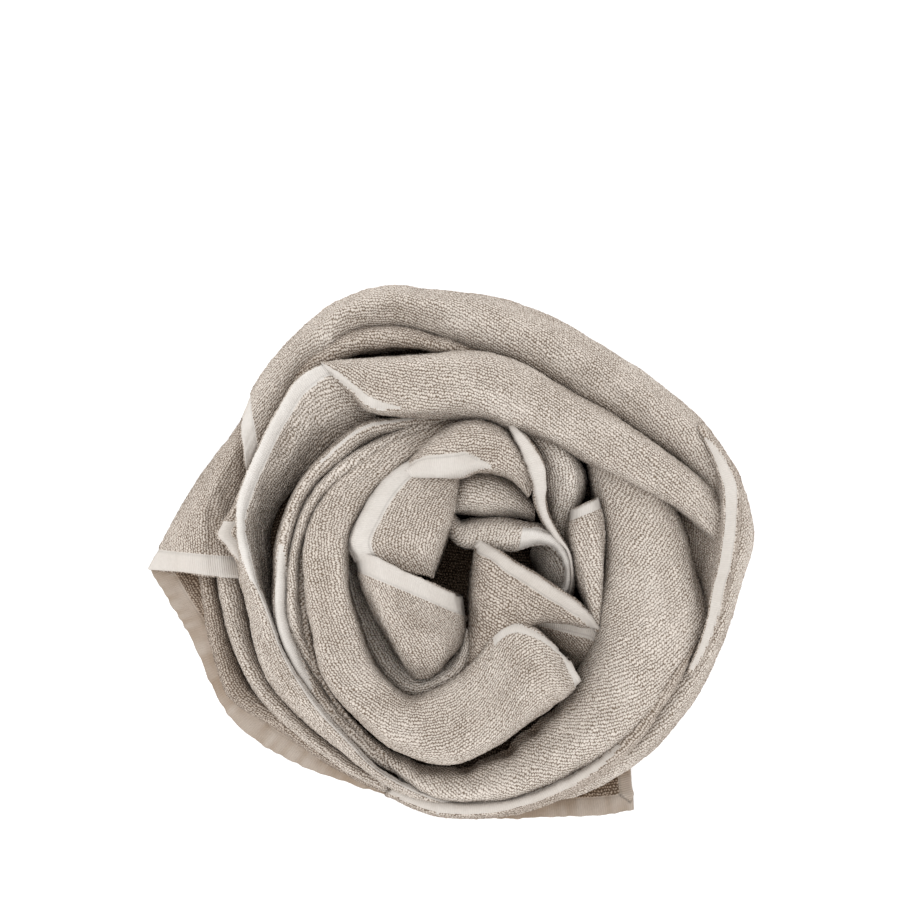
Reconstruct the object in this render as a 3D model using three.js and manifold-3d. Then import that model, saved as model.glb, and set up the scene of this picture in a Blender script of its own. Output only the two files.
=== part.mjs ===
// A beach towel of looped cotton, loosely wound and gathered into a low rosette on a floor.
// Plan positions are in mm, x to the right and y to the back, and heights are above the floor.
import * as THREE from 'three';
import { mergeVertices } from 'three/addons/utils/BufferGeometryUtils.js';
import Module from 'manifold-3d';

// The middle of the rosette's outline, which becomes the origin.
const MIDDLE_X = -1.5;
const MIDDLE_Y = 0;
// Spacing of the sections along a fold, and facets on each side of its crest.
const SECTION_SPACING = 20;
const FACETS = 3;
// Where the curve under an outer foot bends, as a share of its tuck and of its height.
const TUCK_BEND = 0.3;

// Each fold is an arch of cloth that runs through its sections. A section rises from its outer foot
// to its crest and falls to its inner foot. The crest lies at a share of the way from foot to foot.
// Round says how full the outer and the inner slope are: 1 is straight, 2 a quarter circle, 4 boxy.
// Tuck is how far the cloth curves back in under its outer foot, where it stands on the floor.
// The columns of every row are:
// outer foot x, y, height, inner foot x, y, height, crest share, crest height
const FOLDS = {
  // The heap of turns under everything that shows.
  heart: {
    round: [5, 5],
    rows: [
      [-192, 6, 6, -188, -30, 4, 0.5, 5],
      [-150, 82, 6, -150, -98, 6, 0.5, 9],
      [-100, 142, 6, -100, -136, 6, 0.5, 9],
      [-40, 168, 6, -40, -158, 6, 0.5, 9],
      [40, 160, 6, 40, -166, 6, 0.5, 9],
      [110, 126, 6, 110, -134, 6, 0.5, 9],
      [165, 86, 6, 165, -86, 6, 0.5, 9],
      [196, 40, 6, 192, -20, 6, 0.5, 8],
    ],
  },
  // The end border that spreads on the floor from the left tip to the right front corner.
  skirt: {
    round: [1.3, 3],
    rows: [
      [-214, -10, 2, -180, 4, 8, 0.75, 13],
      [-200, -33, 2, -162, -18, 8, 0.75, 17],
      [-182, -65, 2, -156, -56, 8, 0.8, 18],
      [-164, -105, 2, -142, -88, 8, 0.8, 18],
      [-139, -131, 2, -120, -110, 8, 0.8, 17],
      [-96, -154, 2, -82, -132, 8, 0.8, 15],
      [-53, -168, 2, -46, -146, 8, 0.75, 12],
      [-15, -182, 2, -12, -160, 6, 0.6, 9],
      [31, -187, 2, 30, -166, 5, 0.5, 6],
      [80, -186, 2, 76, -150, 5, 0.5, 5.5],
      [114, -184, 2, 108, -140, 4, 0.5, 5],
      [128, -181, 2, 124, -136, 3, 0.5, 4],
    ],
  },
  // Two pleats that slide out from under the left flap and run round the left front.
  pleat_one: {
    round: [2.6, 2.2],
    rows: [
      [-178, -2, 4, -166, -2, 10, 0.4, 23],
      [-176, -20, 4, -164, -22, 9, 0.4, 26],
      [-172, -51, 4, -157, -54, 8, 0.4, 28],
      [-162, -91, 4, -145, -86, 8, 0.4, 30],
      [-149, -107, 4, -132, -101, 8, 0.4, 30],
      [-121, -124, 4, -108, -117, 8, 0.4, 28],
      [-89, -147, 4, -82, -140, 8, 0.4, 25],
      [-50, -168, 4, -46, -162, 8, 0.45, 19],
    ],
  },
  pleat_two: {
    round: [2.8, 2.2],
    rows: [
      [-168, -2, 8, -147, -2, 14, 0.4, 31],
      [-164, -24, 9, -144, -26, 14, 0.4, 37],
      [-157, -58, 10, -139, -58, 14, 0.4, 40],
      [-143, -90, 10, -127, -86, 14, 0.4, 41],
      [-126, -112, 10, -110, -106, 14, 0.4, 40],
      [-101, -134, 10, -89, -127, 14, 0.4, 37],
      [-71, -154, 8, -63, -148, 12, 0.4, 32],
      [-42, -168, 8, -38, -163, 10, 0.4, 25],
    ],
  },
  // The upright left edge, whose side hem runs on towards the front.
  left_rim: {
    round: [2, 4],
    rows: [
      [-152, 12, 30, -143, 10, 30, 0.75, 74],
      [-148, -16, 30, -137, -14, 28, 0.8, 75],
      [-142, -42, 30, -126, -42, 28, 0.84, 75],
      [-138, -68, 30, -115, -70, 28, 0.86, 74],
      [-126, -93, 30, -102, -92, 28, 0.86, 71],
      [-104, -117, 30, -90, -109, 28, 0.82, 67],
      [-84, -134, 28, -72, -128, 28, 0.78, 62],
      [-60, -153, 22, -54, -147, 26, 0.7, 55],
      [-34, -168, 16, -31, -161, 24, 0.6, 48],
      [-8, -178, 10, -7, -171, 22, 0.6, 42],
      [16, -181, 8, 15, -175, 18, 0.6, 34],
    ],
  },
  // The side hem round the front and up the right side, with the outer wall of cloth below it.
  front_rim: {
    round: [2, 3],
    tuck: 6,
    rows: [
      [-44, -171, 12, -36, -163, 22, 0.55, 34],
      [-10, -184, 14, -8, -173, 22, 0.6, 44],
      [36, -184, 14, 33, -173, 22, 0.6, 50],
      [76, -172, 16, 70, -161, 24, 0.6, 54],
      [110, -152, 22, 101, -143, 26, 0.55, 57],
      [133, -130, 28, 123, -123, 28, 0.5, 61],
      [152, -103, 30, 142, -97, 30, 0.5, 64],
      [169, -77, 30, 158, -73, 30, 0.5, 67],
      [181, -54, 30, 170, -52, 30, 0.5, 60],
    ],
  },
  right_rim: {
    round: [3.4, 0.7],
    rows: [
      [178, 90, 30, 168, 82, 38, 0.4, 64],
      [192, 70, 30, 174, 58, 40, 0.4, 73],
      [202, 52, 30, 163, 40, 42, 0.28, 80],
      [204, 30, 30, 158, 22, 42, 0.26, 84],
      [202, 10, 30, 161, 6, 42, 0.3, 84],
      [198, -14, 30, 166, -10, 42, 0.38, 82],
      [191, -40, 28, 176, -36, 40, 0.66, 78],
      [181, -66, 26, 169, -62, 34, 0.6, 72],
      [170, -86, 26, 160, -80, 30, 0.5, 60],
    ],
  },
  // The wide outer turn over the back, which drops to the floor down the right side.
  outer_sweep: {
    round: [2.4, 2.4],
    tuck: 9,
    rows: [
      [-146, 98, 10, -142, 50, 24, 0.5, 48],
      [-131, 127, 16, -124, 84, 30, 0.5, 55],
      [-104, 158, 20, -103, 124, 34, 0.45, 62],
      [-76, 178, 22, -75, 148, 34, 0.44, 64],
      [-45, 187, 22, -45, 157, 34, 0.44, 65],
      [-12, 184, 22, -13, 153, 36, 0.46, 66],
      [28, 180, 22, 20, 141, 38, 0.5, 68],
      [75, 163, 22, 60, 124, 38, 0.5, 69],
      [114, 141, 22, 95, 102, 38, 0.5, 69],
      [149, 117, 22, 130, 84, 38, 0.5, 68],
      [180, 88, 22, 162, 62, 38, 0.5, 66],
      [202, 53, 22, 182, 38, 38, 0.45, 64],
      [211, 14, 22, 184, 10, 38, 0.4, 62],
      [203, -18, 22, 178, -12, 36, 0.4, 60],
      [193, -53, 22, 170, -44, 34, 0.4, 58],
      [176, -92, 20, 152, -78, 32, 0.4, 54],
      [152, -127, 18, 134, -108, 30, 0.4, 48],
      [122, -152, 14, 108, -132, 26, 0.4, 38],
      [84, -170, 10, 78, -150, 22, 0.4, 28],
      [44, -178, 8, 42, -160, 18, 0.4, 20],
    ],
  },
  back_ridge: {
    round: [1.8, 2.8],
    rows: [
      [-126, 106, 40, -112, 96, 34, 0.5, 50],
      [-112, 134, 44, -96, 118, 34, 0.55, 60],
      [-90, 153, 42, -76, 134, 34, 0.6, 66],
      [-62, 162, 42, -56, 141, 34, 0.6, 68],
      [-34, 161, 42, -30, 143, 34, 0.6, 68],
      [-6, 153, 44, -4, 141, 34, 0.6, 66],
      [22, 145, 46, 20, 137, 36, 0.6, 56],
    ],
  },
  // The flap turned over along the left side, with the end hem along its front edge.
  left_flap: {
    round: [1.5, 1.6],
    rows: [
      [-213, -9, 2, -144, -15, 38, 0.62, 43],
      [-200, 14, 2, -144, 8, 27, 0.5, 43],
      [-186, 38, 2, -144, 28, 22, 0.36, 40],
      [-170, 64, 2, -140, 44, 18, 0.32, 34],
      [-153, 87, 2, -136, 60, 12, 0.36, 26],
      [-141, 104, 2, -128, 76, 8, 0.4, 17],
    ],
  },
  // A hemmed corner that peeps out between the flap and the hood.
  small_corner: {
    round: [4, 3],
    rows: [
      [-148, 42, 54, -142, 42, 60, 0.5, 66],
      [-155, 29, 56, -142, 29, 60, 0.5, 69],
      [-163, 15, 56, -143, 16, 60, 0.5, 69],
      [-157, 7, 54, -143, 6, 58, 0.5, 66],
      [-149, -4, 52, -142, -5, 56, 0.5, 62],
    ],
  },
  // The hood: a hemmed edge that stands up at the left and slopes down towards the coils.
  hood: {
    round: [5, 1.2],
    rows: [
      [-74, 134, 40, -52, 96, 54, 0.05, 78],
      [-92, 132, 40, -64, 88, 50, 0.04, 87],
      [-108, 121, 40, -78, 78, 45, 0.04, 87],
      [-119, 103, 40, -92, 66, 41, 0.04, 86],
      [-133, 76, 38, -106, 52, 36, 0.05, 84],
      [-146, 44, 36, -122, 34, 28, 0.06, 82],
      [-149, 22, 34, -129, 14, 16, 0.08, 80],
      [-146, 2, 32, -128, -6, 16, 0.12, 77],
      [-138, -24, 30, -126, -28, 16, 0.16, 74],
      [-126, -48, 28, -121, -50, 18, 0.3, 68],
    ],
  },
  // The broad turn from the hood's tip over to the right rim.
  middle_band: {
    round: [3.4, 3.6],
    rows: [
      [-88, 134, 66, -87, 129, 66, 0.5, 88],
      [-70, 136, 56, -70, 113, 62, 0.5, 93],
      [-53, 137, 50, -53, 99, 60, 0.5, 95],
      [-20, 139, 48, -20, 96, 60, 0.5, 96],
      [22, 141, 48, 18, 95, 60, 0.5, 96],
      [52, 132, 48, 44, 86, 60, 0.5, 95],
      [79, 116, 48, 69, 78, 60, 0.5, 94],
      [112, 98, 48, 97, 63, 58, 0.5, 92],
      [144, 76, 46, 127, 49, 56, 0.5, 89],
      [172, 55, 44, 160, 31, 50, 0.5, 83],
      [190, 37, 42, 182, 12, 44, 0.5, 74],
      [202, 24, 36, 196, 0, 38, 0.5, 58],
    ],
  },
  // The coils round the inside, from the outermost inwards.
  coil_rim: {
    round: [2.6, 2.2],
    rows: [
      [16, 104, 44, 14, 96, 46, 0.4, 62],
      [0, 101, 42, -2, 92, 46, 0.38, 68],
      [-34, 97, 38, -34, 86, 46, 0.34, 73],
      [-62, 92, 30, -58, 78, 50, 0.32, 77],
      [-86, 74, 24, -76, 63, 54, 0.32, 81],
      [-107, 49, 18, -97, 44, 58, 0.32, 84],
      [-120, 16, 16, -110, 14, 60, 0.34, 85],
      [-124, -20, 16, -114, -18, 58, 0.35, 81],
      [-123, -50, 20, -113, -46, 52, 0.4, 75],
      [-112, -78, 24, -103, -73, 46, 0.4, 68],
      [-98, -101, 26, -90, -94, 40, 0.45, 61],
      [-78, -125, 26, -71, -117, 36, 0.45, 54],
      [-50, -149, 24, -45, -140, 32, 0.5, 45],
      [-24, -160, 20, -20, -152, 26, 0.5, 34],
    ],
  },
  coil_middle: {
    round: [2.4, 2.4],
    rows: [
      [2, 96, 50, 4, 86, 52, 0.5, 62],
      [-20, 93, 50, -16, 83, 52, 0.5, 70],
      [-46, 84, 50, -38, 73, 56, 0.5, 76],
      [-66, 73, 54, -56, 63, 60, 0.5, 81],
      [-84, 59, 56, -76, 51, 62, 0.5, 85],
      [-100, 40, 58, -92, 35, 64, 0.5, 87],
      [-111, 14, 60, -103, 11, 64, 0.5, 87],
      [-115, -16, 58, -107, -16, 62, 0.5, 84],
      [-114, -44, 52, -106, -42, 56, 0.5, 77],
      [-106, -68, 46, -99, -64, 48, 0.5, 67],
      [-94, -90, 38, -88, -85, 40, 0.5, 55],
      [-78, -110, 30, -72, -104, 32, 0.5, 40],
    ],
  },
  ring: {
    round: [4, 5],
    rows: [
      [8, 98, 46, 14, 86, 48, 0.5, 62],
      [-14, 90, 46, -2, 80, 48, 0.5, 72],
      [-42, 79, 52, -24, 70, 50, 0.45, 82],
      [-66, 63, 56, -42, 54, 48, 0.42, 88],
      [-87, 45, 58, -57, 38, 46, 0.4, 91],
      [-101, 14, 56, -71, 11, 44, 0.4, 93],
      [-102, -20, 50, -72, -18, 40, 0.4, 93],
      [-98, -50, 44, -64, -48, 38, 0.4, 91],
      [-89, -86, 38, -55, -74, 38, 0.4, 89],
      [-66, -113, 34, -41, -92, 40, 0.4, 89],
      [-38, -136, 32, -25, -99, 44, 0.4, 90],
      [-2, -146, 32, -2, -89, 48, 0.4, 92],
      [30, -134, 32, 16, -74, 52, 0.42, 95],
      [58, -115, 32, 36, -46, 56, 0.5, 97],
      [78, -102, 34, 57, -50, 56, 0.55, 95],
      [89, -90, 40, 80, -72, 54, 0.5, 84],
    ],
  },
  // The wide bowl of cloth from the front round to the right side.
  bowl: {
    round: [2.6, 2.4],
    rows: [
      [-107, 6, 50, -100, 6, 50, 0.5, 76],
      [-108, -20, 44, -99, -20, 44, 0.5, 72],
      [-104, -58, 38, -96, -62, 34, 0.5, 65],
      [-92, -88, 32, -85, -96, 28, 0.5, 57],
      [-70, -120, 26, -62, -124, 22, 0.5, 51],
      [-42, -152, 20, -34, -141, 18, 0.42, 47],
      [-8, -172, 22, -4, -144, 18, 0.34, 50],
      [34, -173, 26, 26, -134, 18, 0.36, 55],
      [68, -162, 30, 55, -114, 20, 0.42, 61],
      [102, -144, 34, 77, -99, 26, 0.48, 67],
      [130, -124, 38, 92, -76, 34, 0.54, 72],
      [157, -90, 40, 101, -54, 40, 0.6, 77],
      [181, -50, 38, 101, -34, 44, 0.6, 79],
      [171, -14, 44, 106, -6, 46, 0.5, 81],
      [164, 12, 46, 104, 22, 48, 0.46, 81],
      [155, 36, 46, 98, 52, 50, 0.46, 79],
      [148, 56, 44, 93, 74, 50, 0.5, 73],
    ],
  },
  // The cloth between the ring and the lobe.
  lobe_bed: {
    round: [2, 1.5],
    rows: [
      [-78, 2, 36, -64, -2, 26, 0.3, 50],
      [-75, -30, 36, -58, -28, 26, 0.3, 48],
      [-64, -58, 36, -46, -50, 26, 0.3, 48],
      [-50, -84, 38, -34, -70, 28, 0.32, 54],
      [-28, -102, 40, -20, -78, 28, 0.36, 64],
      [0, -96, 40, -4, -70, 28, 0.45, 72],
      [16, -80, 40, 2, -60, 28, 0.5, 74],
      [20, -60, 40, 4, -44, 28, 0.5, 66],
    ],
  },
  // The crown at the back of the middle, with the end hem along its lower edge.
  crown: {
    round: [2.6, 6],
    rows: [
      [-38, 56, 60, -32, 52, 66, 0.5, 88],
      [-25, 71, 58, -18, 54, 68, 0.5, 98],
      [-4, 88, 52, -4, 53, 68, 0.52, 104],
      [14, 95, 48, 8, 54, 66, 0.52, 106],
      [28, 93, 48, 20, 58, 64, 0.52, 105],
      [40, 87, 48, 34, 56, 62, 0.55, 101],
      [52, 72, 48, 46, 50, 60, 0.55, 95],
      [60, 52, 50, 55, 40, 58, 0.5, 84],
    ],
  },
  // The cone of cloth at the left of the middle, open side to the pit, hemmed round its left edge.
  corner_cone: {
    round: [4, 6],
    rows: [
      [-26, 69, 58, 8, 62, 60, 0.3, 84],
      [-40, 60, 60, 6, 52, 60, 0.25, 91],
      [-55, 45, 58, 4, 38, 50, 0.22, 95],
      [-65, 28, 56, 1, 24, 42, 0.2, 97],
      [-72, 11, 54, -5, 4, 36, 0.18, 97],
      [-67, -3, 54, -12, -14, 36, 0.2, 90],
    ],
  },
  lobe: {
    round: [3, 4],
    rows: [
      [-68, 4, 58, 8, -32, 36, 0.42, 101],
      [-64, -16, 50, 10, -46, 32, 0.42, 101],
      [-55, -38, 46, 10, -56, 32, 0.42, 98],
      [-44, -58, 44, 7, -64, 34, 0.42, 93],
      [-34, -75, 44, -2, -76, 38, 0.42, 85],
      [-26, -87, 44, -14, -86, 42, 0.5, 70],
    ],
  },
  // The hem that stands up behind the middle and drops down the right of it.
  stripe: {
    round: [7, 5],
    rows: [
      [39, 97, 50, 36, 95, 52, 0.4, 84],
      [53, 82, 52, 45, 78, 58, 0.4, 98],
      [63.5, 66, 50, 52, 63, 58, 0.35, 101],
      [66, 51, 46, 57, 49, 54, 0.35, 97],
      [66, 37, 44, 60, 36, 52, 0.4, 93],
      [69, 26, 42, 64.5, 24, 52, 0.45, 90],
      [76, 14, 40, 72, 12, 50, 0.5, 86],
      [84, 1, 40, 80.5, 1, 46, 0.5, 81],
      [86.5, -18, 36, 82.5, -18, 40, 0.5, 70],
      [84, -32, 32, 79, -30, 34, 0.5, 56],
    ],
  },
  stripe_back: {
    round: [3, 2],
    rows: [
      [54, 90, 44, 50, 84, 56, 0.5, 72],
      [80, 76, 34, 60, 68, 56, 0.5, 80],
      [92, 60, 26, 63, 52, 54, 0.5, 79],
      [92, 42, 26, 66, 36, 50, 0.5, 73],
      [84, 22, 28, 70, 16, 44, 0.5, 62],
      [84, 4, 28, 76, 0, 40, 0.5, 48],
    ],
  },
  // Two folds behind the pit. The lower one turns back at its left end and ends in a curl.
  upper_rib: {
    round: [2.2, 2.4],
    rows: [
      [-2, 52, 50, -5, 28, 36, 0.5, 70],
      [12, 58, 50, 12, 28, 36, 0.45, 83],
      [28, 57, 50, 28, 26, 36, 0.42, 84],
      [44, 50, 48, 44, 26, 36, 0.42, 77],
      [59, 37, 46, 59, 22, 38, 0.45, 66],
    ],
  },
  lower_rib: {
    round: [3.6, 2.6],
    rows: [
      [0, 40, 40, 2, 34, 38, 0.5, 54],
      [-5, 32, 40, 4, 28, 38, 0.5, 66],
      [-4, 20, 40, 7, 24, 38, 0.5, 72],
      [6, 7, 38, 10, 24, 40, 0.5, 76],
      [20, 4, 38, 20, 26, 42, 0.5, 79],
      [34, 3, 40, 36, 27, 44, 0.5, 81],
      [46, 4, 42, 50, 24, 46, 0.5, 83],
      [57, 7, 44, 64, 21, 46, 0.5, 83],
      [68, 7, 44, 76, 14, 44, 0.5, 81],
      [75, 0, 42, 83, 3, 42, 0.5, 77],
      [79, -10, 38, 86, -9, 38, 0.5, 72],
      [78, -22, 34, 84, -24, 34, 0.5, 64],
      [72, -30, 32, 75, -35, 32, 0.5, 54],
    ],
  },
  curl_bed: {
    round: [1.6, 1.6],
    rows: [
      [60, 12, 36, 56, -2, 14, 0.2, 42],
      [72, 8, 38, 60, -12, 14, 0.2, 52],
      [80, -2, 38, 64, -22, 16, 0.2, 56],
      [84, -16, 34, 72, -30, 20, 0.25, 52],
    ],
  },
  // The wedge that lies across the pit, with the side hem along its upper edge.
  wedge: {
    round: [6, 3],
    rows: [
      [22, 9, 44, 17, 2, 40, 0.3, 82],
      [33, 2, 46, 14, -18, 40, 0.14, 91],
      [45, -6, 46, 12, -46, 38, 0.1, 93],
      [57, -13, 46, 11, -82, 36, 0.08, 93],
      [69, -21, 44, 34, -68, 44, 0.1, 91],
      [84, -31, 42, 56, -50, 50, 0.16, 87],
      [96, -41, 40, 80, -48, 50, 0.3, 80],
      [105, -52, 38, 98, -51, 44, 0.5, 66],
    ],
  },
  wedge_under: {
    round: [5, 1.3],
    rows: [
      [54, -43, 36, 55, -54, 24, 0.2, 72],
      [72, -44, 34, 70, -68, 22, 0.1, 70],
      [88, -46, 32, 80, -82, 20, 0.08, 66],
      [100, -49, 30, 88, -90, 20, 0.08, 62],
      [108, -54, 30, 100, -84, 22, 0.15, 55],
    ],
  },
  right_fold: {
    round: [3.2, 3],
    rows: [
      [104, 38, 50, 82, 28, 46, 0.5, 83],
      [107, 20, 48, 81, 12, 42, 0.5, 85],
      [107, 2, 48, 84, -4, 40, 0.5, 84],
      [106, -16, 46, 89, -22, 38, 0.5, 80],
      [105, -36, 46, 96, -40, 38, 0.5, 73],
      [104, -54, 44, 101, -54, 38, 0.5, 62],
    ],
  },
};

// A number on the smooth curve through four rows, a share of the way from the second to the third.
function smoothNumber(before, start, end, after, share) {
  const away = (end - before) / 2;
  const on = (after - start) / 2;
  const bend = 2 * (start - end) + away + on;
  const turn = 3 * (end - start) - 2 * away - on;
  return ((bend * share + turn) * share + away) * share + start;
}

// The rows of a fold with more put between them, so that its sections stand evenly close.
function sectionsOf(rows) {
  const last = rows.length - 1;
  const sections = [rows[0]];
  for (let i = 0; i < last; i += 1) {
    const around = [rows[Math.max(i - 1, 0)], rows[i], rows[i + 1], rows[Math.min(i + 2, last)]];
    const outer = Math.hypot(rows[i + 1][0] - rows[i][0], rows[i + 1][1] - rows[i][1]);
    const inner = Math.hypot(rows[i + 1][3] - rows[i][3], rows[i + 1][4] - rows[i][4]);
    const steps = Math.max(1, Math.round(Math.max(outer, inner) / SECTION_SPACING));
    for (let step = 1; step <= steps; step += 1) {
      const share = step / steps;
      sections.push(rows[i].map((_, k) => smoothNumber(...around.map((row) => row[k]), share)));
    }
  }
  return sections;
}

// The points of one arch, up from the floor below its outer foot, over the crest and down again.
// Each is its share of the way from foot to foot, its mm back in under the cloth, and its height.
function archOf([outX, outY, outZ, inX, inY, inZ, crestShare, crestZ], { round, tuck = 0 }) {
  const feet = [{ share: 0, height: outZ }, { share: 1, height: inZ }];
  const profile = [[0, tuck, 0]];
  if (tuck > 0) profile.push([0, tuck * TUCK_BEND, outZ * TUCK_BEND]);
  for (let k = -FACETS; k <= FACETS; k += 1) {
    const side = k > 0 ? 1 : 0;
    const angle = (1 - Math.abs(k) / FACETS) * (Math.PI / 2);
    const towardsCrest = 1 - Math.cos(angle) ** (2 / round[side]);
    const risen = Math.sin(angle) ** (2 / round[side]);
    const { share, height } = feet[side];
    profile.push([share + (crestShare - share) * towardsCrest, 0, height + (crestZ - height) * risen]);
  }
  profile.push([1, 0, 0]);
  const [wayX, wayY] = [inX - outX, inY - outY];
  const width = Math.hypot(wayX, wayY);
  return profile.map(([share, back, z]) => {
    const along = share + back / width;
    return { across: along * width, x: outX + wayX * along, y: outY + wayY * along, z };
  });
}

// Corners and triangles of the closed solid between a fold's arches and the floor.
function foldBody(fold) {
  const arches = sectionsOf(fold.rows).map((section) => archOf(section, fold));
  const count = arches[0].length;
  const corners = arches.flat().flatMap(({ x, y, z }) => [x - MIDDLE_X, y - MIDDLE_Y, z]);
  const triangles = [];
  for (let i = 0; i < arches.length - 1; i += 1) {
    for (let k = 0; k < count; k += 1) {
      const [near, far] = [i * count + k, i * count + ((k + 1) % count)];
      triangles.push(near, near + count, far + count, near, far + count, far);
    }
  }
  for (const i of [0, arches.length - 1]) {
    const outline = arches[i].map(({ across, z }) => new THREE.Vector2(across, z));
    for (const face of THREE.ShapeUtils.triangulateShape(outline, [])) {
      const clockwise = THREE.ShapeUtils.isClockWise(face.map((k) => outline[k]));
      if (clockwise !== (i === 0)) face.reverse();
      triangles.push(...face.map((k) => i * count + k));
    }
  }
  return { corners, triangles };
}

// Six times the volume inside the triangles, which is negative where they face inwards.
function sixVolumes(corners, triangles) {
  let sum = 0;
  for (let t = 0; t < triangles.length; t += 3) {
    const [a, b, c] = [0, 1, 2].map((k) => new THREE.Vector3().fromArray(corners, 3 * triangles[t + k]));
    sum += a.dot(b.cross(c));
  }
  return sum;
}

const wasm = await Module();
wasm.setup();

function solidOf(fold) {
  const { corners, triangles } = foldBody(fold);
  const facing = sixVolumes(corners, triangles) < 0 ? triangles.reverse() : triangles;
  return new wasm.Manifold(new wasm.Mesh({
    numProp: 3,
    vertProperties: new Float32Array(corners),
    triVerts: new Uint32Array(facing),
  }));
}

const joined = Object.values(FOLDS).map(solidOf).reduce((all, solid) => all.add(solid));
const skin = joined.getMesh();
const shape = new THREE.BufferGeometry();
shape.setAttribute('position', new THREE.BufferAttribute(new Float32Array(skin.vertProperties), 3));
shape.setIndex(new THREE.BufferAttribute(new Uint32Array(skin.triVerts), 1));

const terry = new THREE.MeshStandardMaterial({ color: 0xcbc3b8, roughness: 0.95, metalness: 0 });
terry.name = 'terry';
const towel = new THREE.Mesh(mergeVertices(shape, 1e-4), terry);
towel.name = 'towel';

const part = new THREE.Group();
part.name = 'rolled_towel';
part.add(towel);

export default part;
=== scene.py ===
# %% [markdown]
# # A rolled beach towel
# This file dresses the plain solid of a loosely wound beach towel as looped cotton cloth. The towel
# lies on a floor as a low rosette, and the camera looks straight down on it. Every stretch of cloth
# that shows is its own thin sheet, laid over the fold of the solid that it stands for.

# %% Load the solid
import math

import bpy
import numpy as np
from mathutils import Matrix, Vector


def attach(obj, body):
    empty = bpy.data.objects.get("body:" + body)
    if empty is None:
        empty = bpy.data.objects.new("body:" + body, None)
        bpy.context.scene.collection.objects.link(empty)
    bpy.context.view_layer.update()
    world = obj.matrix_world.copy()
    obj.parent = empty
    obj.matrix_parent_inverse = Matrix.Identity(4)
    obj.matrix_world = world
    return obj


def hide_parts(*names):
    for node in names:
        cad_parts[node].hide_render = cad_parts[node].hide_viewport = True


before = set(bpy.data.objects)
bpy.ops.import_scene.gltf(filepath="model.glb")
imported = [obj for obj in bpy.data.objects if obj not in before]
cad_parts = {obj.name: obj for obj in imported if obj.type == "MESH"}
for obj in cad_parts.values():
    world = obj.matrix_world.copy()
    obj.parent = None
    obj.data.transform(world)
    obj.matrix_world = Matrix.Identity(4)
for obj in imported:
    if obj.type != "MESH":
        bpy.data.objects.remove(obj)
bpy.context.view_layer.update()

# %% [markdown]
# ## Camera
# A product picture taken from above through a long lens has almost no perspective, so the camera
# hangs high above the towel with a very long lens. One could also use an orthographic camera, but a
# perspective one keeps its depth when it moves round to the sides.

# %% Camera straight above
MM = 0.001
PICTURE_WIDTH = 630 * MM
LENS_HEIGHT = 7.0
MEAN_CLOTH_HEIGHT = 60 * MM
PICTURE_CENTRE = (0.8 * MM, 73.15 * MM)
SENSOR_MM = 36.0
camera = bpy.data.objects.new("camera", bpy.data.cameras.new("camera"))
bpy.context.scene.collection.objects.link(camera)
camera.data.sensor_width = SENSOR_MM
camera.data.lens = SENSOR_MM * LENS_HEIGHT / PICTURE_WIDTH
camera.data.clip_end = 50
camera.location = (*PICTURE_CENTRE, LENS_HEIGHT + MEAN_CLOTH_HEIGHT)
bpy.context.scene.camera = camera
print("lens of", round(camera.data.lens), "mm")

# %% [markdown]
# ## The folds
# Each fold is an arch of cloth. Its rows are sections in mm, from where its visible stretch starts
# to where it ends: outer foot x, y and height, inner foot x, y and height, the crest's share of the
# way from foot to foot, and the crest's height. Round says how full the outer and inner slopes are,
# from 1 for straight over 2 for a quarter circle to boxy. Tuck, where there is one, is how far the
# cloth curves back in under its outer foot. One could also simulate the winding, but the folds would
# not fall as they do here. The numbers are the solid's own, so that cloth and solid stay together.

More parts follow.
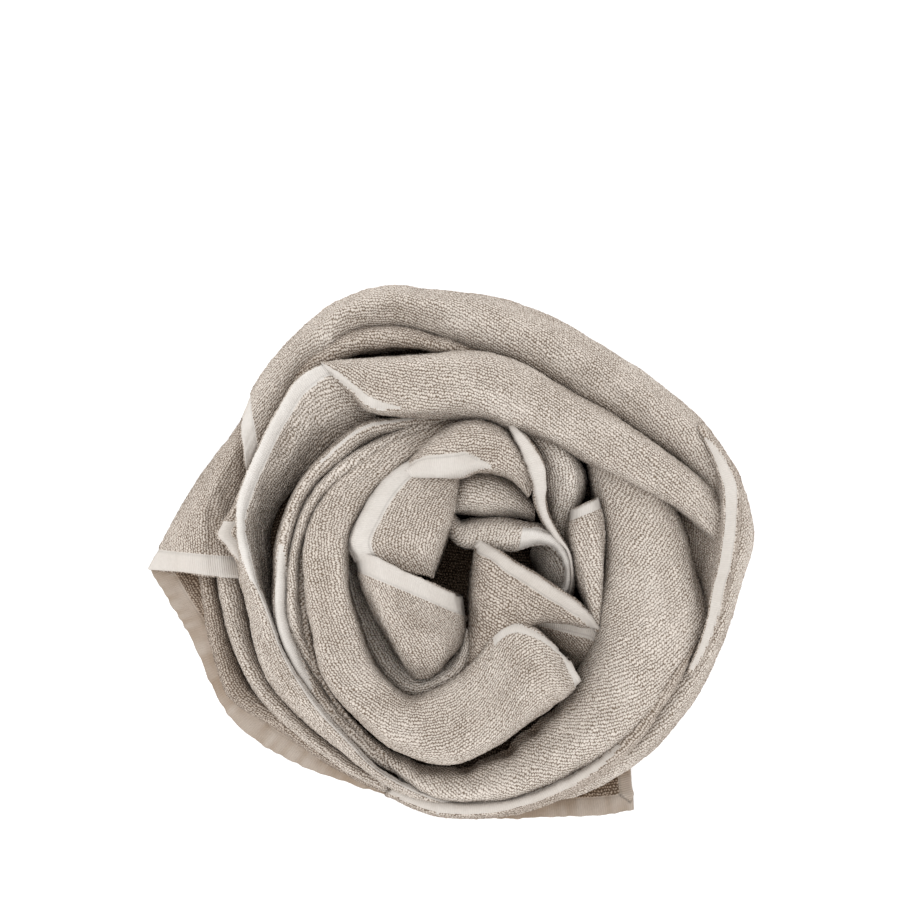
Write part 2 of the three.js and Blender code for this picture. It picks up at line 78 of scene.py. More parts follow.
# %% Sections of every fold
MIDDLE_X, MIDDLE_Y = -1.5, 0.0
FOLDS = {
    # The heap of turns under everything that shows.
    "heart": dict(round=(5, 5), rows=[
        [-192, 6, 6, -188, -30, 4, 0.5, 5],
        [-150, 82, 6, -150, -98, 6, 0.5, 9],
        [-100, 142, 6, -100, -136, 6, 0.5, 9],
        [-40, 168, 6, -40, -158, 6, 0.5, 9],
        [40, 160, 6, 40, -166, 6, 0.5, 9],
        [110, 126, 6, 110, -134, 6, 0.5, 9],
        [165, 86, 6, 165, -86, 6, 0.5, 9],
        [196, 40, 6, 192, -20, 6, 0.5, 8],
    ]),
    # The end border that spreads on the floor from the left tip to the right front corner.
    "skirt": dict(round=(1.3, 3), rows=[
        [-214, -10, 2, -180, 4, 8, 0.75, 13],
        [-200, -33, 2, -162, -18, 8, 0.75, 17],
        [-182, -65, 2, -156, -56, 8, 0.8, 18],
        [-164, -105, 2, -142, -88, 8, 0.8, 18],
        [-139, -131, 2, -120, -110, 8, 0.8, 17],
        [-96, -154, 2, -82, -132, 8, 0.8, 15],
        [-53, -168, 2, -46, -146, 8, 0.75, 12],
        [-15, -182, 2, -12, -160, 6, 0.6, 9],
        [31, -187, 2, 30, -166, 5, 0.5, 6],
        [80, -186, 2, 76, -150, 5, 0.5, 5.5],
        [114, -184, 2, 108, -140, 4, 0.5, 5],
        [128, -181, 2, 124, -136, 3, 0.5, 4],
    ]),
    # Two pleats that slide out from under the left flap and run round the left front.
    "pleat_one": dict(round=(2.6, 2.2), rows=[
        [-178, -2, 4, -166, -2, 10, 0.4, 23],
        [-176, -20, 4, -164, -22, 9, 0.4, 26],
        [-172, -51, 4, -157, -54, 8, 0.4, 28],
        [-162, -91, 4, -145, -86, 8, 0.4, 30],
        [-149, -107, 4, -132, -101, 8, 0.4, 30],
        [-121, -124, 4, -108, -117, 8, 0.4, 28],
        [-89, -147, 4, -82, -140, 8, 0.4, 25],
        [-50, -168, 4, -46, -162, 8, 0.45, 19],
    ]),
    "pleat_two": dict(round=(2.8, 2.2), rows=[
        [-168, -2, 8, -147, -2, 14, 0.4, 31],
        [-164, -24, 9, -144, -26, 14, 0.4, 37],
        [-157, -58, 10, -139, -58, 14, 0.4, 40],
        [-143, -90, 10, -127, -86, 14, 0.4, 41],
        [-126, -112, 10, -110, -106, 14, 0.4, 40],
        [-101, -134, 10, -89, -127, 14, 0.4, 37],
        [-71, -154, 8, -63, -148, 12, 0.4, 32],
        [-42, -168, 8, -38, -163, 10, 0.4, 25],
    ]),
    # The upright left edge, whose side hem runs on towards the front.
    "left_rim": dict(round=(2, 4), rows=[
        [-152, 12, 30, -143, 10, 30, 0.75, 74],
        [-148, -16, 30, -137, -14, 28, 0.8, 75],
        [-142, -42, 30, -126, -42, 28, 0.84, 75],
        [-138, -68, 30, -115, -70, 28, 0.86, 74],
        [-126, -93, 30, -102, -92, 28, 0.86, 71],
        [-104, -117, 30, -90, -109, 28, 0.82, 67],
        [-84, -134, 28, -72, -128, 28, 0.78, 62],
        [-60, -153, 22, -54, -147, 26, 0.7, 55],
        [-34, -168, 16, -31, -161, 24, 0.6, 48],
        [-8, -178, 10, -7, -171, 22, 0.6, 42],
        [16, -181, 8, 15, -175, 18, 0.6, 34],
    ]),
    # The side hem round the front and up the right side, with the outer wall of cloth below it.
    "front_rim": dict(round=(2, 3), tuck=6, rows=[
        [-44, -171, 12, -36, -163, 22, 0.55, 34],
        [-10, -184, 14, -8, -173, 22, 0.6, 44],
        [36, -184, 14, 33, -173, 22, 0.6, 50],
        [76, -172, 16, 70, -161, 24, 0.6, 54],
        [110, -152, 22, 101, -143, 26, 0.55, 57],
        [133, -130, 28, 123, -123, 28, 0.5, 61],
        [152, -103, 30, 142, -97, 30, 0.5, 64],
        [169, -77, 30, 158, -73, 30, 0.5, 67],
        [181, -54, 30, 170, -52, 30, 0.5, 60],
    ]),
    "right_rim": dict(round=(3.4, 0.7), rows=[
        [178, 90, 30, 168, 82, 38, 0.4, 64],
        [192, 70, 30, 174, 58, 40, 0.4, 73],
        [202, 52, 30, 163, 40, 42, 0.28, 80],
        [204, 30, 30, 158, 22, 42, 0.26, 84],
        [202, 10, 30, 161, 6, 42, 0.3, 84],
        [198, -14, 30, 166, -10, 42, 0.38, 82],
        [191, -40, 28, 176, -36, 40, 0.66, 78],
        [181, -66, 26, 169, -62, 34, 0.6, 72],
        [170, -86, 26, 160, -80, 30, 0.5, 60],
    ]),
    # The wide outer turn over the back, which drops to the floor down the right side.
    "outer_sweep": dict(round=(2.4, 2.4), tuck=9, rows=[
        [-146, 98, 10, -142, 50, 24, 0.5, 48],
        [-131, 127, 16, -124, 84, 30, 0.5, 55],
        [-104, 158, 20, -103, 124, 34, 0.45, 62],
        [-76, 178, 22, -75, 148, 34, 0.44, 64],
        [-45, 187, 22, -45, 157, 34, 0.44, 65],
        [-12, 184, 22, -13, 153, 36, 0.46, 66],
        [28, 180, 22, 20, 141, 38, 0.5, 68],
        [75, 163, 22, 60, 124, 38, 0.5, 69],
        [114, 141, 22, 95, 102, 38, 0.5, 69],
        [149, 117, 22, 130, 84, 38, 0.5, 68],
        [180, 88, 22, 162, 62, 38, 0.5, 66],
        [202, 53, 22, 182, 38, 38, 0.45, 64],
        [211, 14, 22, 184, 10, 38, 0.4, 62],
        [203, -18, 22, 178, -12, 36, 0.4, 60],
        [193, -53, 22, 170, -44, 34, 0.4, 58],
        [176, -92, 20, 152, -78, 32, 0.4, 54],
        [152, -127, 18, 134, -108, 30, 0.4, 48],
        [122, -152, 14, 108, -132, 26, 0.4, 38],
        [84, -170, 10, 78, -150, 22, 0.4, 28],
        [44, -178, 8, 42, -160, 18, 0.4, 20],
    ]),
    "back_ridge": dict(round=(1.8, 2.8), rows=[
        [-126, 106, 40, -112, 96, 34, 0.5, 50],
        [-112, 134, 44, -96, 118, 34, 0.55, 60],
        [-90, 153, 42, -76, 134, 34, 0.6, 66],
        [-62, 162, 42, -56, 141, 34, 0.6, 68],
        [-34, 161, 42, -30, 143, 34, 0.6, 68],
        [-6, 153, 44, -4, 141, 34, 0.6, 66],
        [22, 145, 46, 20, 137, 36, 0.6, 56],
    ]),
    # The flap turned over along the left side, with the end hem along its front edge.
    "left_flap": dict(round=(1.5, 1.6), rows=[
        [-213, -9, 2, -144, -15, 38, 0.62, 43],
        [-200, 14, 2, -144, 8, 27, 0.5, 43],
        [-186, 38, 2, -144, 28, 22, 0.36, 40],
        [-170, 64, 2, -140, 44, 18, 0.32, 34],
        [-153, 87, 2, -136, 60, 12, 0.36, 26],
        [-141, 104, 2, -128, 76, 8, 0.4, 17],
    ]),
    # A hemmed corner that peeps out between the flap and the hood.
    "small_corner": dict(round=(4, 3), rows=[
        [-148, 42, 54, -142, 42, 60, 0.5, 66],
        [-155, 29, 56, -142, 29, 60, 0.5, 69],
        [-163, 15, 56, -143, 16, 60, 0.5, 69],
        [-157, 7, 54, -143, 6, 58, 0.5, 66],
        [-149, -4, 52, -142, -5, 56, 0.5, 62],
    ]),
    # The hood: a hemmed edge that stands up at the left and slopes down towards the coils.
    "hood": dict(round=(5, 1.2), rows=[
        [-74, 134, 40, -52, 96, 54, 0.05, 78],
        [-92, 132, 40, -64, 88, 50, 0.04, 87],
        [-108, 121, 40, -78, 78, 45, 0.04, 87],
        [-119, 103, 40, -92, 66, 41, 0.04, 86],
        [-133, 76, 38, -106, 52, 36, 0.05, 84],
        [-146, 44, 36, -122, 34, 28, 0.06, 82],
        [-149, 22, 34, -129, 14, 16, 0.08, 80],
        [-146, 2, 32, -128, -6, 16, 0.12, 77],
        [-138, -24, 30, -126, -28, 16, 0.16, 74],
        [-126, -48, 28, -121, -50, 18, 0.3, 68],
    ]),
    # The broad turn from the hood's tip over to the right rim.
    "middle_band": dict(round=(3.4, 3.6), rows=[
        [-88, 134, 66, -87, 129, 66, 0.5, 88],
        [-70, 136, 56, -70, 113, 62, 0.5, 93],
        [-53, 137, 50, -53, 99, 60, 0.5, 95],
        [-20, 139, 48, -20, 96, 60, 0.5, 96],
        [22, 141, 48, 18, 95, 60, 0.5, 96],
        [52, 132, 48, 44, 86, 60, 0.5, 95],
        [79, 116, 48, 69, 78, 60, 0.5, 94],
        [112, 98, 48, 97, 63, 58, 0.5, 92],
        [144, 76, 46, 127, 49, 56, 0.5, 89],
        [172, 55, 44, 160, 31, 50, 0.5, 83],
        [190, 37, 42, 182, 12, 44, 0.5, 74],
        [202, 24, 36, 196, 0, 38, 0.5, 58],
    ]),
    # The coils round the inside, from the outermost inwards.
    "coil_rim": dict(round=(2.6, 2.2), rows=[
        [16, 104, 44, 14, 96, 46, 0.4, 62],
        [0, 101, 42, -2, 92, 46, 0.38, 68],
        [-34, 97, 38, -34, 86, 46, 0.34, 73],
        [-62, 92, 30, -58, 78, 50, 0.32, 77],
        [-86, 74, 24, -76, 63, 54, 0.32, 81],
        [-107, 49, 18, -97, 44, 58, 0.32, 84],
        [-120, 16, 16, -110, 14, 60, 0.34, 85],
        [-124, -20, 16, -114, -18, 58, 0.35, 81],
        [-123, -50, 20, -113, -46, 52, 0.4, 75],
        [-112, -78, 24, -103, -73, 46, 0.4, 68],
        [-98, -101, 26, -90, -94, 40, 0.45, 61],
        [-78, -125, 26, -71, -117, 36, 0.45, 54],
        [-50, -149, 24, -45, -140, 32, 0.5, 45],
        [-24, -160, 20, -20, -152, 26, 0.5, 34],
    ]),
    "coil_middle": dict(round=(2.4, 2.4), rows=[
        [2, 96, 50, 4, 86, 52, 0.5, 62],
        [-20, 93, 50, -16, 83, 52, 0.5, 70],
        [-46, 84, 50, -38, 73, 56, 0.5, 76],
        [-66, 73, 54, -56, 63, 60, 0.5, 81],
        [-84, 59, 56, -76, 51, 62, 0.5, 85],
        [-100, 40, 58, -92, 35, 64, 0.5, 87],
        [-111, 14, 60, -103, 11, 64, 0.5, 87],
        [-115, -16, 58, -107, -16, 62, 0.5, 84],
        [-114, -44, 52, -106, -42, 56, 0.5, 77],
        [-106, -68, 46, -99, -64, 48, 0.5, 67],
        [-94, -90, 38, -88, -85, 40, 0.5, 55],
        [-78, -110, 30, -72, -104, 32, 0.5, 40],
    ]),
    "ring": dict(round=(4, 5), rows=[
        [8, 98, 46, 14, 86, 48, 0.5, 62],
        [-14, 90, 46, -2, 80, 48, 0.5, 72],
        [-42, 79, 52, -24, 70, 50, 0.45, 82],
        [-66, 63, 56, -42, 54, 48, 0.42, 88],
        [-87, 45, 58, -57, 38, 46, 0.4, 91],
        [-101, 14, 56, -71, 11, 44, 0.4, 93],
        [-102, -20, 50, -72, -18, 40, 0.4, 93],
        [-98, -50, 44, -64, -48, 38, 0.4, 91],
        [-89, -86, 38, -55, -74, 38, 0.4, 89],
        [-66, -113, 34, -41, -92, 40, 0.4, 89],
        [-38, -136, 32, -25, -99, 44, 0.4, 90],
        [-2, -146, 32, -2, -89, 48, 0.4, 92],
        [30, -134, 32, 16, -74, 52, 0.42, 95],
        [58, -115, 32, 36, -46, 56, 0.5, 97],
        [78, -102, 34, 57, -50, 56, 0.55, 95],
        [89, -90, 40, 80, -72, 54, 0.5, 84],
    ]),
    # The wide bowl of cloth from the front round to the right side.
    "bowl": dict(round=(2.6, 2.4), rows=[
        [-107, 6, 50, -100, 6, 50, 0.5, 76],
        [-108, -20, 44, -99, -20, 44, 0.5, 72],
        [-104, -58, 38, -96, -62, 34, 0.5, 65],
        [-92, -88, 32, -85, -96, 28, 0.5, 57],
        [-70, -120, 26, -62, -124, 22, 0.5, 51],
        [-42, -152, 20, -34, -141, 18, 0.42, 47],
        [-8, -172, 22, -4, -144, 18, 0.34, 50],
        [34, -173, 26, 26, -134, 18, 0.36, 55],
        [68, -162, 30, 55, -114, 20, 0.42, 61],
        [102, -144, 34, 77, -99, 26, 0.48, 67],
        [130, -124, 38, 92, -76, 34, 0.54, 72],
        [157, -90, 40, 101, -54, 40, 0.6, 77],
        [181, -50, 38, 101, -34, 44, 0.6, 79],
        [171, -14, 44, 106, -6, 46, 0.5, 81],
        [164, 12, 46, 104, 22, 48, 0.46, 81],
        [155, 36, 46, 98, 52, 50, 0.46, 79],
        [148, 56, 44, 93, 74, 50, 0.5, 73],
    ]),
    # The cloth between the ring and the lobe.
    "lobe_bed": dict(round=(2, 1.5), rows=[
        [-78, 2, 36, -64, -2, 26, 0.3, 50],
        [-75, -30, 36, -58, -28, 26, 0.3, 48],
        [-64, -58, 36, -46, -50, 26, 0.3, 48],
        [-50, -84, 38, -34, -70, 28, 0.32, 54],
        [-28, -102, 40, -20, -78, 28, 0.36, 64],
        [0, -96, 40, -4, -70, 28, 0.45, 72],
        [16, -80, 40, 2, -60, 28, 0.5, 74],
        [20, -60, 40, 4, -44, 28, 0.5, 66],
    ]),
    # The crown at the back of the middle, with the end hem along its lower edge.
    "crown": dict(round=(2.6, 6), rows=[
        [-38, 56, 60, -32, 52, 66, 0.5, 88],
        [-25, 71, 58, -18, 54, 68, 0.5, 98],
        [-4, 88, 52, -4, 53, 68, 0.52, 104],
        [14, 95, 48, 8, 54, 66, 0.52, 106],
        [28, 93, 48, 20, 58, 64, 0.52, 105],
        [40, 87, 48, 34, 56, 62, 0.55, 101],
        [52, 72, 48, 46, 50, 60, 0.55, 95],
        [60, 52, 50, 55, 40, 58, 0.5, 84],
    ]),
    # The cone of cloth at the left of the middle, open side to the pit, hemmed round its left edge.
    "corner_cone": dict(round=(4, 6), rows=[
        [-26, 69, 58, 8, 62, 60, 0.3, 84],
        [-40, 60, 60, 6, 52, 60, 0.25, 91],
        [-55, 45, 58, 4, 38, 50, 0.22, 95],
        [-65, 28, 56, 1, 24, 42, 0.2, 97],
        [-72, 11, 54, -5, 4, 36, 0.18, 97],
        [-67, -3, 54, -12, -14, 36, 0.2, 90],
    ]),
    "lobe": dict(round=(3, 4), rows=[
        [-68, 4, 58, 8, -32, 36, 0.42, 101],
        [-64, -16, 50, 10, -46, 32, 0.42, 101],
        [-55, -38, 46, 10, -56, 32, 0.42, 98],
        [-44, -58, 44, 7, -64, 34, 0.42, 93],
        [-34, -75, 44, -2, -76, 38, 0.42, 85],
        [-26, -87, 44, -14, -86, 42, 0.5, 70],
    ]),
    # The hem that stands up behind the middle and drops down the right of it.
    "stripe": dict(round=(7, 5), rows=[
        [39, 97, 50, 36, 95, 52, 0.4, 84],
        [53, 82, 52, 45, 78, 58, 0.4, 98],
        [63.5, 66, 50, 52, 63, 58, 0.35, 101],
        [66, 51, 46, 57, 49, 54, 0.35, 97],
        [66, 37, 44, 60, 36, 52, 0.4, 93],
        [69, 26, 42, 64.5, 24, 52, 0.45, 90],
        [76, 14, 40, 72, 12, 50, 0.5, 86],
        [84, 1, 40, 80.5, 1, 46, 0.5, 81],
        [86.5, -18, 36, 82.5, -18, 40, 0.5, 70],
        [84, -32, 32, 79, -30, 34, 0.5, 56],
    ]),
    "stripe_back": dict(round=(3, 2), rows=[
        [54, 90, 44, 50, 84, 56, 0.5, 72],
        [80, 76, 34, 60, 68, 56, 0.5, 80],
        [92, 60, 26, 63, 52, 54, 0.5, 79],
        [92, 42, 26, 66, 36, 50, 0.5, 73],
        [84, 22, 28, 70, 16, 44, 0.5, 62],
        [84, 4, 28, 76, 0, 40, 0.5, 48],
    ]),
    # Two folds behind the pit. The lower one turns back at its left end and ends in a curl.
    "upper_rib": dict(round=(2.2, 2.4), rows=[
        [-2, 52, 50, -5, 28, 36, 0.5, 70],
        [12, 58, 50, 12, 28, 36, 0.45, 83],
        [28, 57, 50, 28, 26, 36, 0.42, 84],
        [44, 50, 48, 44, 26, 36, 0.42, 77],
        [59, 37, 46, 59, 22, 38, 0.45, 66],
    ]),
    "lower_rib": dict(round=(3.6, 2.6), rows=[
        [0, 40, 40, 2, 34, 38, 0.5, 54],
        [-5, 32, 40, 4, 28, 38, 0.5, 66],
        [-4, 20, 40, 7, 24, 38, 0.5, 72],
        [6, 7, 38, 10, 24, 40, 0.5, 76],
        [20, 4, 38, 20, 26, 42, 0.5, 79],
        [34, 3, 40, 36, 27, 44, 0.5, 81],
        [46, 4, 42, 50, 24, 46, 0.5, 83],
        [57, 7, 44, 64, 21, 46, 0.5, 83],
        [68, 7, 44, 76, 14, 44, 0.5, 81],
        [75, 0, 42, 83, 3, 42, 0.5, 77],
        [79, -10, 38, 86, -9, 38, 0.5, 72],
        [78, -22, 34, 84, -24, 34, 0.5, 64],
        [72, -30, 32, 75, -35, 32, 0.5, 54],
    ]),
    "curl_bed": dict(round=(1.6, 1.6), rows=[
        [60, 12, 36, 56, -2, 14, 0.2, 42],
        [72, 8, 38, 60, -12, 14, 0.2, 52],
        [80, -2, 38, 64, -22, 16, 0.2, 56],
        [84, -16, 34, 72, -30, 20, 0.25, 52],
    ]),
    # The wedge that lies across the pit, with the side hem along its upper edge.
    "wedge": dict(round=(6, 3), rows=[
        [22, 9, 44, 17, 2, 40, 0.3, 82],
        [33, 2, 46, 14, -18, 40, 0.14, 91],
        [45, -6, 46, 12, -46, 38, 0.1, 93],
        [57, -13, 46, 11, -82, 36, 0.08, 93],
        [69, -21, 44, 34, -68, 44, 0.1, 91],
        [84, -31, 42, 56, -50, 50, 0.16, 87],
        [96, -41, 40, 80, -48, 50, 0.3, 80],
        [105, -52, 38, 98, -51, 44, 0.5, 66],
    ]),
    "wedge_under": dict(round=(5, 1.3), rows=[
        [54, -43, 36, 55, -54, 24, 0.2, 72],
        [72, -44, 34, 70, -68, 22, 0.1, 70],
        [88, -46, 32, 80, -82, 20, 0.08, 66],
        [100, -49, 30, 88, -90, 20, 0.08, 62],
        [108, -54, 30, 100, -84, 22, 0.15, 55],
    ]),
    "right_fold": dict(round=(3.2, 3), rows=[
        [104, 38, 50, 82, 28, 46, 0.5, 83],
        [107, 20, 48, 81, 12, 42, 0.5, 85],
        [107, 2, 48, 84, -4, 40, 0.5, 84],
        [106, -16, 46, 89, -22, 38, 0.5, 80],
        [105, -36, 46, 96, -40, 38, 0.5, 73],
        [104, -54, 44, 101, -54, 38, 0.5, 62],
    ]),
}
print(len(FOLDS), "folds with", sum(len(f["rows"]) for f in FOLDS.values()), "sections")

# %% [markdown]
# ## Hems, free ends and the lie of the loops
# The towel has narrow side hems and wider end hems, and its loop rows slant on some folds, because
# the cloth was wound askew. Each could be drawn by hand on its sheet, but a table of real widths is
# easier to check and to change. It names for each fold:
# - zero: the line from which cloth is measured across, so that the loops run parallel to it
# - hems: the edge, the width in mm at both ends of the hem, and the share of the fold it covers.
#   A hem on crest_in or crest_out lies on that side of the crest alone
# - rolls: ends of the stretch that show as a free edge, with the mm they hang down
# - turn: the degrees by which loop rows slant, and spread: how many times wider the rows are
# - shade: painted shade added to the stretch's colour, darker and browner above zero, and painted light,
#   paler, below zero
# - pucker: the mm of ripple in its hem
# - down: the height in mm to which the sheet's feet reach, and step: the mm between its points
# - deep: the mm of covered cloth that it keeps

# %% Hems, free ends and the line each fold is measured from
DRESS = {
    # The heart's high shade is painted shade, which darkens the bottom of every gap.
    "heart": dict(shade=0.9, zero="crest", down=0, step=3.0),
    "skirt": dict(
        shade=0.75, zero="out", down=0, pucker=0.8,
        hems=[("out", 17, 14, 0, 1), ("end", 8, 8, 0, 1)],
        rolls={"end": 3},
    ),
    "pleat_one": dict(shade=0.4, zero="crest", down=3),
    "pleat_two": dict(turn=5, shade=0.02, zero="crest"),
    "left_rim": dict(zero="crest", hems=[("crest_in", 6, 6, 0, 1)]),
    "front_rim": dict(
        shade=0.24, zero="crest",
        hems=[("in", 7, 6, 0, 0.5), ("in", 6, 1, 0.5, 0.64)],
        rolls={"start": 14},
    ),
    "right_rim": dict(
        shade=0.12, zero="crest",
        hems=[
            ("crest_out", 2, 10, 0.04, 0.17),
            ("crest_out", 10, 10, 0.17, 0.7),
            ("crest_out", 10, 3, 0.7, 0.98),
        ],
        rolls={"start": 8},
    ),
    "outer_sweep": dict(turn=13, zero="crest", hems=[("start", 16, 16, 0, 1)], rolls={"start": 24}),
    "back_ridge": dict(turn=10, shade=0.22, zero="crest"),
    "left_flap": dict(
        shade=0.1, zero="crest", down=2, deep=25, hems=[("start", 13, 13, 0, 1)], rolls={"start": 16}
    ),
    "small_corner": dict(
        shade=0.15, zero="out", down=40, hems=[("out", 9, 9, 0.4, 1)], rolls={"start": 5, "end": 5}
    ),
    "hood": dict(
        turn=-4, spread=1.5, shade=-0.12, zero="crest", deep=20,
        hems=[
            ("crest", 4.5, 9.5, 0, 0.14),
            ("crest", 9.5, 9.5, 0.14, 0.56),
            ("crest", 9.5, 5, 0.56, 0.7),
            ("crest", 5, 5, 0.7, 1),
        ],
    ),
    "middle_band": dict(
        turn=10, zero="crest",
        hems=[("in", 4.5, 4, 0, 0.12), ("in", 4, 1, 0.12, 0.17)],
        rolls={"start": 5},
    ),
    "coil_rim": dict(
        zero="out",
        hems=[
            ("out", 1.4, 1.2, 0, 0.3),
            ("out", 1.2, 9, 0.46, 0.53),
            ("out", 9, 9, 0.53, 0.66),
            ("out", 9, 2, 0.66, 0.74),
        ],
    ),
    "coil_middle": dict(turn=12, shade=-0.1, zero="crest"),
    "ring": dict(
        turn=9, shade=0.06, zero="crest",
        hems=[("in", 4.5, 5, 0.87, 1), ("end", 5, 5, 0, 1)],
        rolls={"end": 45},
    ),
    "bowl": dict(turn=-38, zero="crest"),
    "lobe_bed": dict(shade=-0.28, zero="crest"),
    "crown": dict(
        turn=8, shade=0.06, zero="in", hems=[("in", 13.5, 13.5, 0, 0.45), ("in", 13.5, 1, 0.45, 0.64)]
    ),
    "corner_cone": dict(
        turn=8, shade=0.08, zero="out", hems=[("out", 13.5, 13.5, 0, 1)], rolls={"end": 14}
    ),
    "lobe": dict(
        turn=20, shade=0.08, zero="crest", hems=[("start", 14, 14, 0, 1)], rolls={"start": 30}
    ),
    "stripe": dict(shade=0.12, zero="crest", hems=[("crest", 12, 12, 0, 1)]),
    "stripe_back": dict(turn=8, shade=-0.25, zero="crest"),
    "upper_rib": dict(turn=13, shade=-0.08, zero="crest"),
    "lower_rib": dict(
        turn=75, shade=-0.1, zero="crest",
        hems=[("out", 13, 9, 0.49, 0.74), ("out", 9, 5, 0.74, 1)],
        rolls={"end": 10},
    ),
    "curl_bed": dict(shade=-0.3, zero="crest"),
    "wedge": dict(
        shade=0.24, zero="out", hems=[("out", 8, 8, 0, 0.75), ("out", 8, 4, 0.75, 1)], rolls={"start": 20}
    ),
    "wedge_under": dict(turn=37, shade=0.22, zero="out", hems=[("out", 11, 10, 0, 1)]),
    "right_fold": dict(
        turn=-19, zero="crest", hems=[("start", 5.5, 5.5, 0, 1)], rolls={"start": 25}
    ),
}
assert set(DRESS) == set(FOLDS)
print("folds with a hem:", sum("hems" in dress for dress in DRESS.values()))

# %% [markdown]
# ## Laying the cloth
# A sheet is laid by walking along its fold and across each arch in equal steps of cloth, so the
# loops keep their size on every slope. Subdividing the solid would be shorter, but it would stretch
# the loops on steep sides, which shows at once on towelling.

# %% Walk along a fold
LOOP_STEP = 1.05
STEPS_PER_ROW = 30
ACROSS_POINTS = 26
TUCK_POINTS = 6
FOOT_DOWN = 8.0


def smooth_rows(rows):
    """Sections on smooth curves through the rows, many from each row to the next."""
    rows = np.array(rows, float)
    around = np.vstack([rows[:1], rows, rows[-1:]])
    share = (np.arange(STEPS_PER_ROW) / STEPS_PER_ROW)[:, None]
    found = []
    for before, start, end, after in zip(around, around[1:], around[2:], around[3:]):
        away, on = (end - before) / 2, (after - start) / 2
        bend, turn = 2 * (start - end) + away + on, 3 * (end - start) - 2 * away - on
        found.append(((bend * share + turn) * share + away) * share + start)
    return np.vstack([*found, rows[-1:]])


def every(step, line, values):
    """Values again at equal steps along the line, and how far along each is."""
    lengths = np.linalg.norm(np.diff(line, axis=0), axis=1)
    along = np.concatenate([[0], np.cumsum(lengths)])
    at = np.arange(0, along[-1], step)
    return np.stack([np.interp(at, along, column) for column in values.T], 1), at


def crest_of(sections):
    """The top point of each section."""
    plan = sections[:, 0:2] + (sections[:, 3:5] - sections[:, 0:2]) * sections[:, 6:7]
    return np.column_stack([plan, sections[:, 7]])


def arches(sections, fold, down):
    """Points of each section's arch, from its lowest outer point over the crest to the inner one."""
    out, inner = sections[:, 0:3], sections[:, 3:6]
    crest = crest_of(sections)
    angle = np.linspace(0, math.pi / 2, ACROSS_POINTS)[None, :]
    sides = []
    for foot, full in ((out, fold["round"][0]), (inner, fold["round"][1])):
        toward, risen = 1 - np.cos(angle) ** (2 / full), np.sin(angle) ** (2 / full)
        plan = foot[:, None, :2] + (crest - foot)[:, None, :2] * toward[..., None]
        height = foot[:, 2:3] + (crest - foot)[:, 2:3] * risen
        sides.append(np.concatenate([plan, height[..., None]], 2))
    way = inner[:, :2] - out[:, :2]
    way = way / np.linalg.norm(way, axis=1, keepdims=True)
    low_out = out.copy()
    low_out[:, 2] = np.minimum(out[:, 2], down)
    below = [low_out]
    tuck = fold.get("tuck", 0)
    if tuck:
        below = []
        for a in np.linspace(math.pi / 2, 0, TUCK_POINTS + 1)[:-1]:
            point = out.copy()
            point[:, :2] += way * tuck * (1 - math.cos(a))
            point[:, 2] = out[:, 2] * (1 - math.sin(a))
            below.append(point)
    low_in = inner.copy()
    low_in[:, 2] = np.minimum(inner[:, 2], down)
    line = np.concatenate([np.stack(below, 1), sides[0], sides[1][:, -2::-1], low_in[:, None]], 1)
    return line, len(below)


all_rows = np.vstack([fold["rows"] for fold in FOLDS.values()])
widest = np.hypot(*(all_rows[:, 0:2] - all_rows[:, 3:5]).T).max()
print("widest fold:", round(widest), "mm from foot to foot")

# %% [markdown]
# Each arch is now cut into equal steps from its zero line outwards. Three lines are kept as marks
# from which hems are measured: the crest, and where the outer and the inner slope turn steep.

# %% Lay a fold's cloth as an even grid of points
STEEP = 0.7
MARK_REACH = 12


def lay(name):
    """One fold's grid: points by place along and across, which are on the cloth, and its marks."""
    fold, dress = FOLDS[name], DRESS[name]
    step = dress.get("step", LOOP_STEP)
    rough = smooth_rows(fold["rows"])
    sections, along = every(step, crest_of(rough), rough)
    line, first = arches(sections, fold, dress.get("down", FOOT_DOWN))
    spans = np.linalg.norm(np.diff(line, axis=1), axis=2)
    across = np.concatenate([np.zeros((len(line), 1)), np.cumsum(spans, 1)], 1)
    crest_at = first + ACROSS_POINTS - 1
    steep = np.abs(np.diff(line[..., 2], axis=1)) / np.maximum(spans, 1e-6) > STEEP
    flat_out = [np.argmax(~row[first:crest_at]) + first for row in steep]
    last = line.shape[1] - 2
    flat_in = [last - np.argmax(~row[crest_at:last + 1][::-1]) + 1 for row in steep]
    each = np.arange(len(line))
    marks = {
        "out": soft_line(across[each, flat_out]),
        "crest": across[:, crest_at],
        "in": soft_line(across[each, flat_in]),
    }
    zero = marks[dress["zero"]]
    ends = across[:, -1]
    at = np.arange(-math.floor(zero.max() / step), math.floor((ends - zero).max() / step) + 1) * step
    points = np.stack(
        [
            np.stack([np.interp(at + zero[i], across[i], line[i, :, k]) for k in range(3)], 1)
            for i in each
        ]
    )
    inside = (at[None] + zero[:, None] >= 0) & (at[None] + zero[:, None] <= ends[:, None])
    grid = dict(
        name=name, step=step, points=points, inside=inside, along=along,
        across=np.broadcast_to(at, inside.shape).copy(), length=along[-1],
        marks={k: v - zero for k, v in marks.items()},
    )
    for end, drop in dress.get("rolls", {}).items():
        roll_over(grid, end, drop)
    return grid


def soft_line(values):
    """Values along a line, evened out over their neighbours."""
    padded = np.pad(values, MARK_REACH, mode="edge")
    window = 2 * MARK_REACH + 1
    return np.convolve(padded, np.ones(window) / window, mode="valid")


# %% [markdown]
# Where the cloth ends in view, its edge is a soft roll of a few mm, and the cloth goes on down behind
# it. A bevel on a cut edge could give the roll, but not the cloth behind, so both are laid as more
# rows of the same grid.

# %% Free edges, and all the grids
ROLL_RADIUS = 2.2
ROLL_BACK = 4
LOWEST_EDGE = 1.0


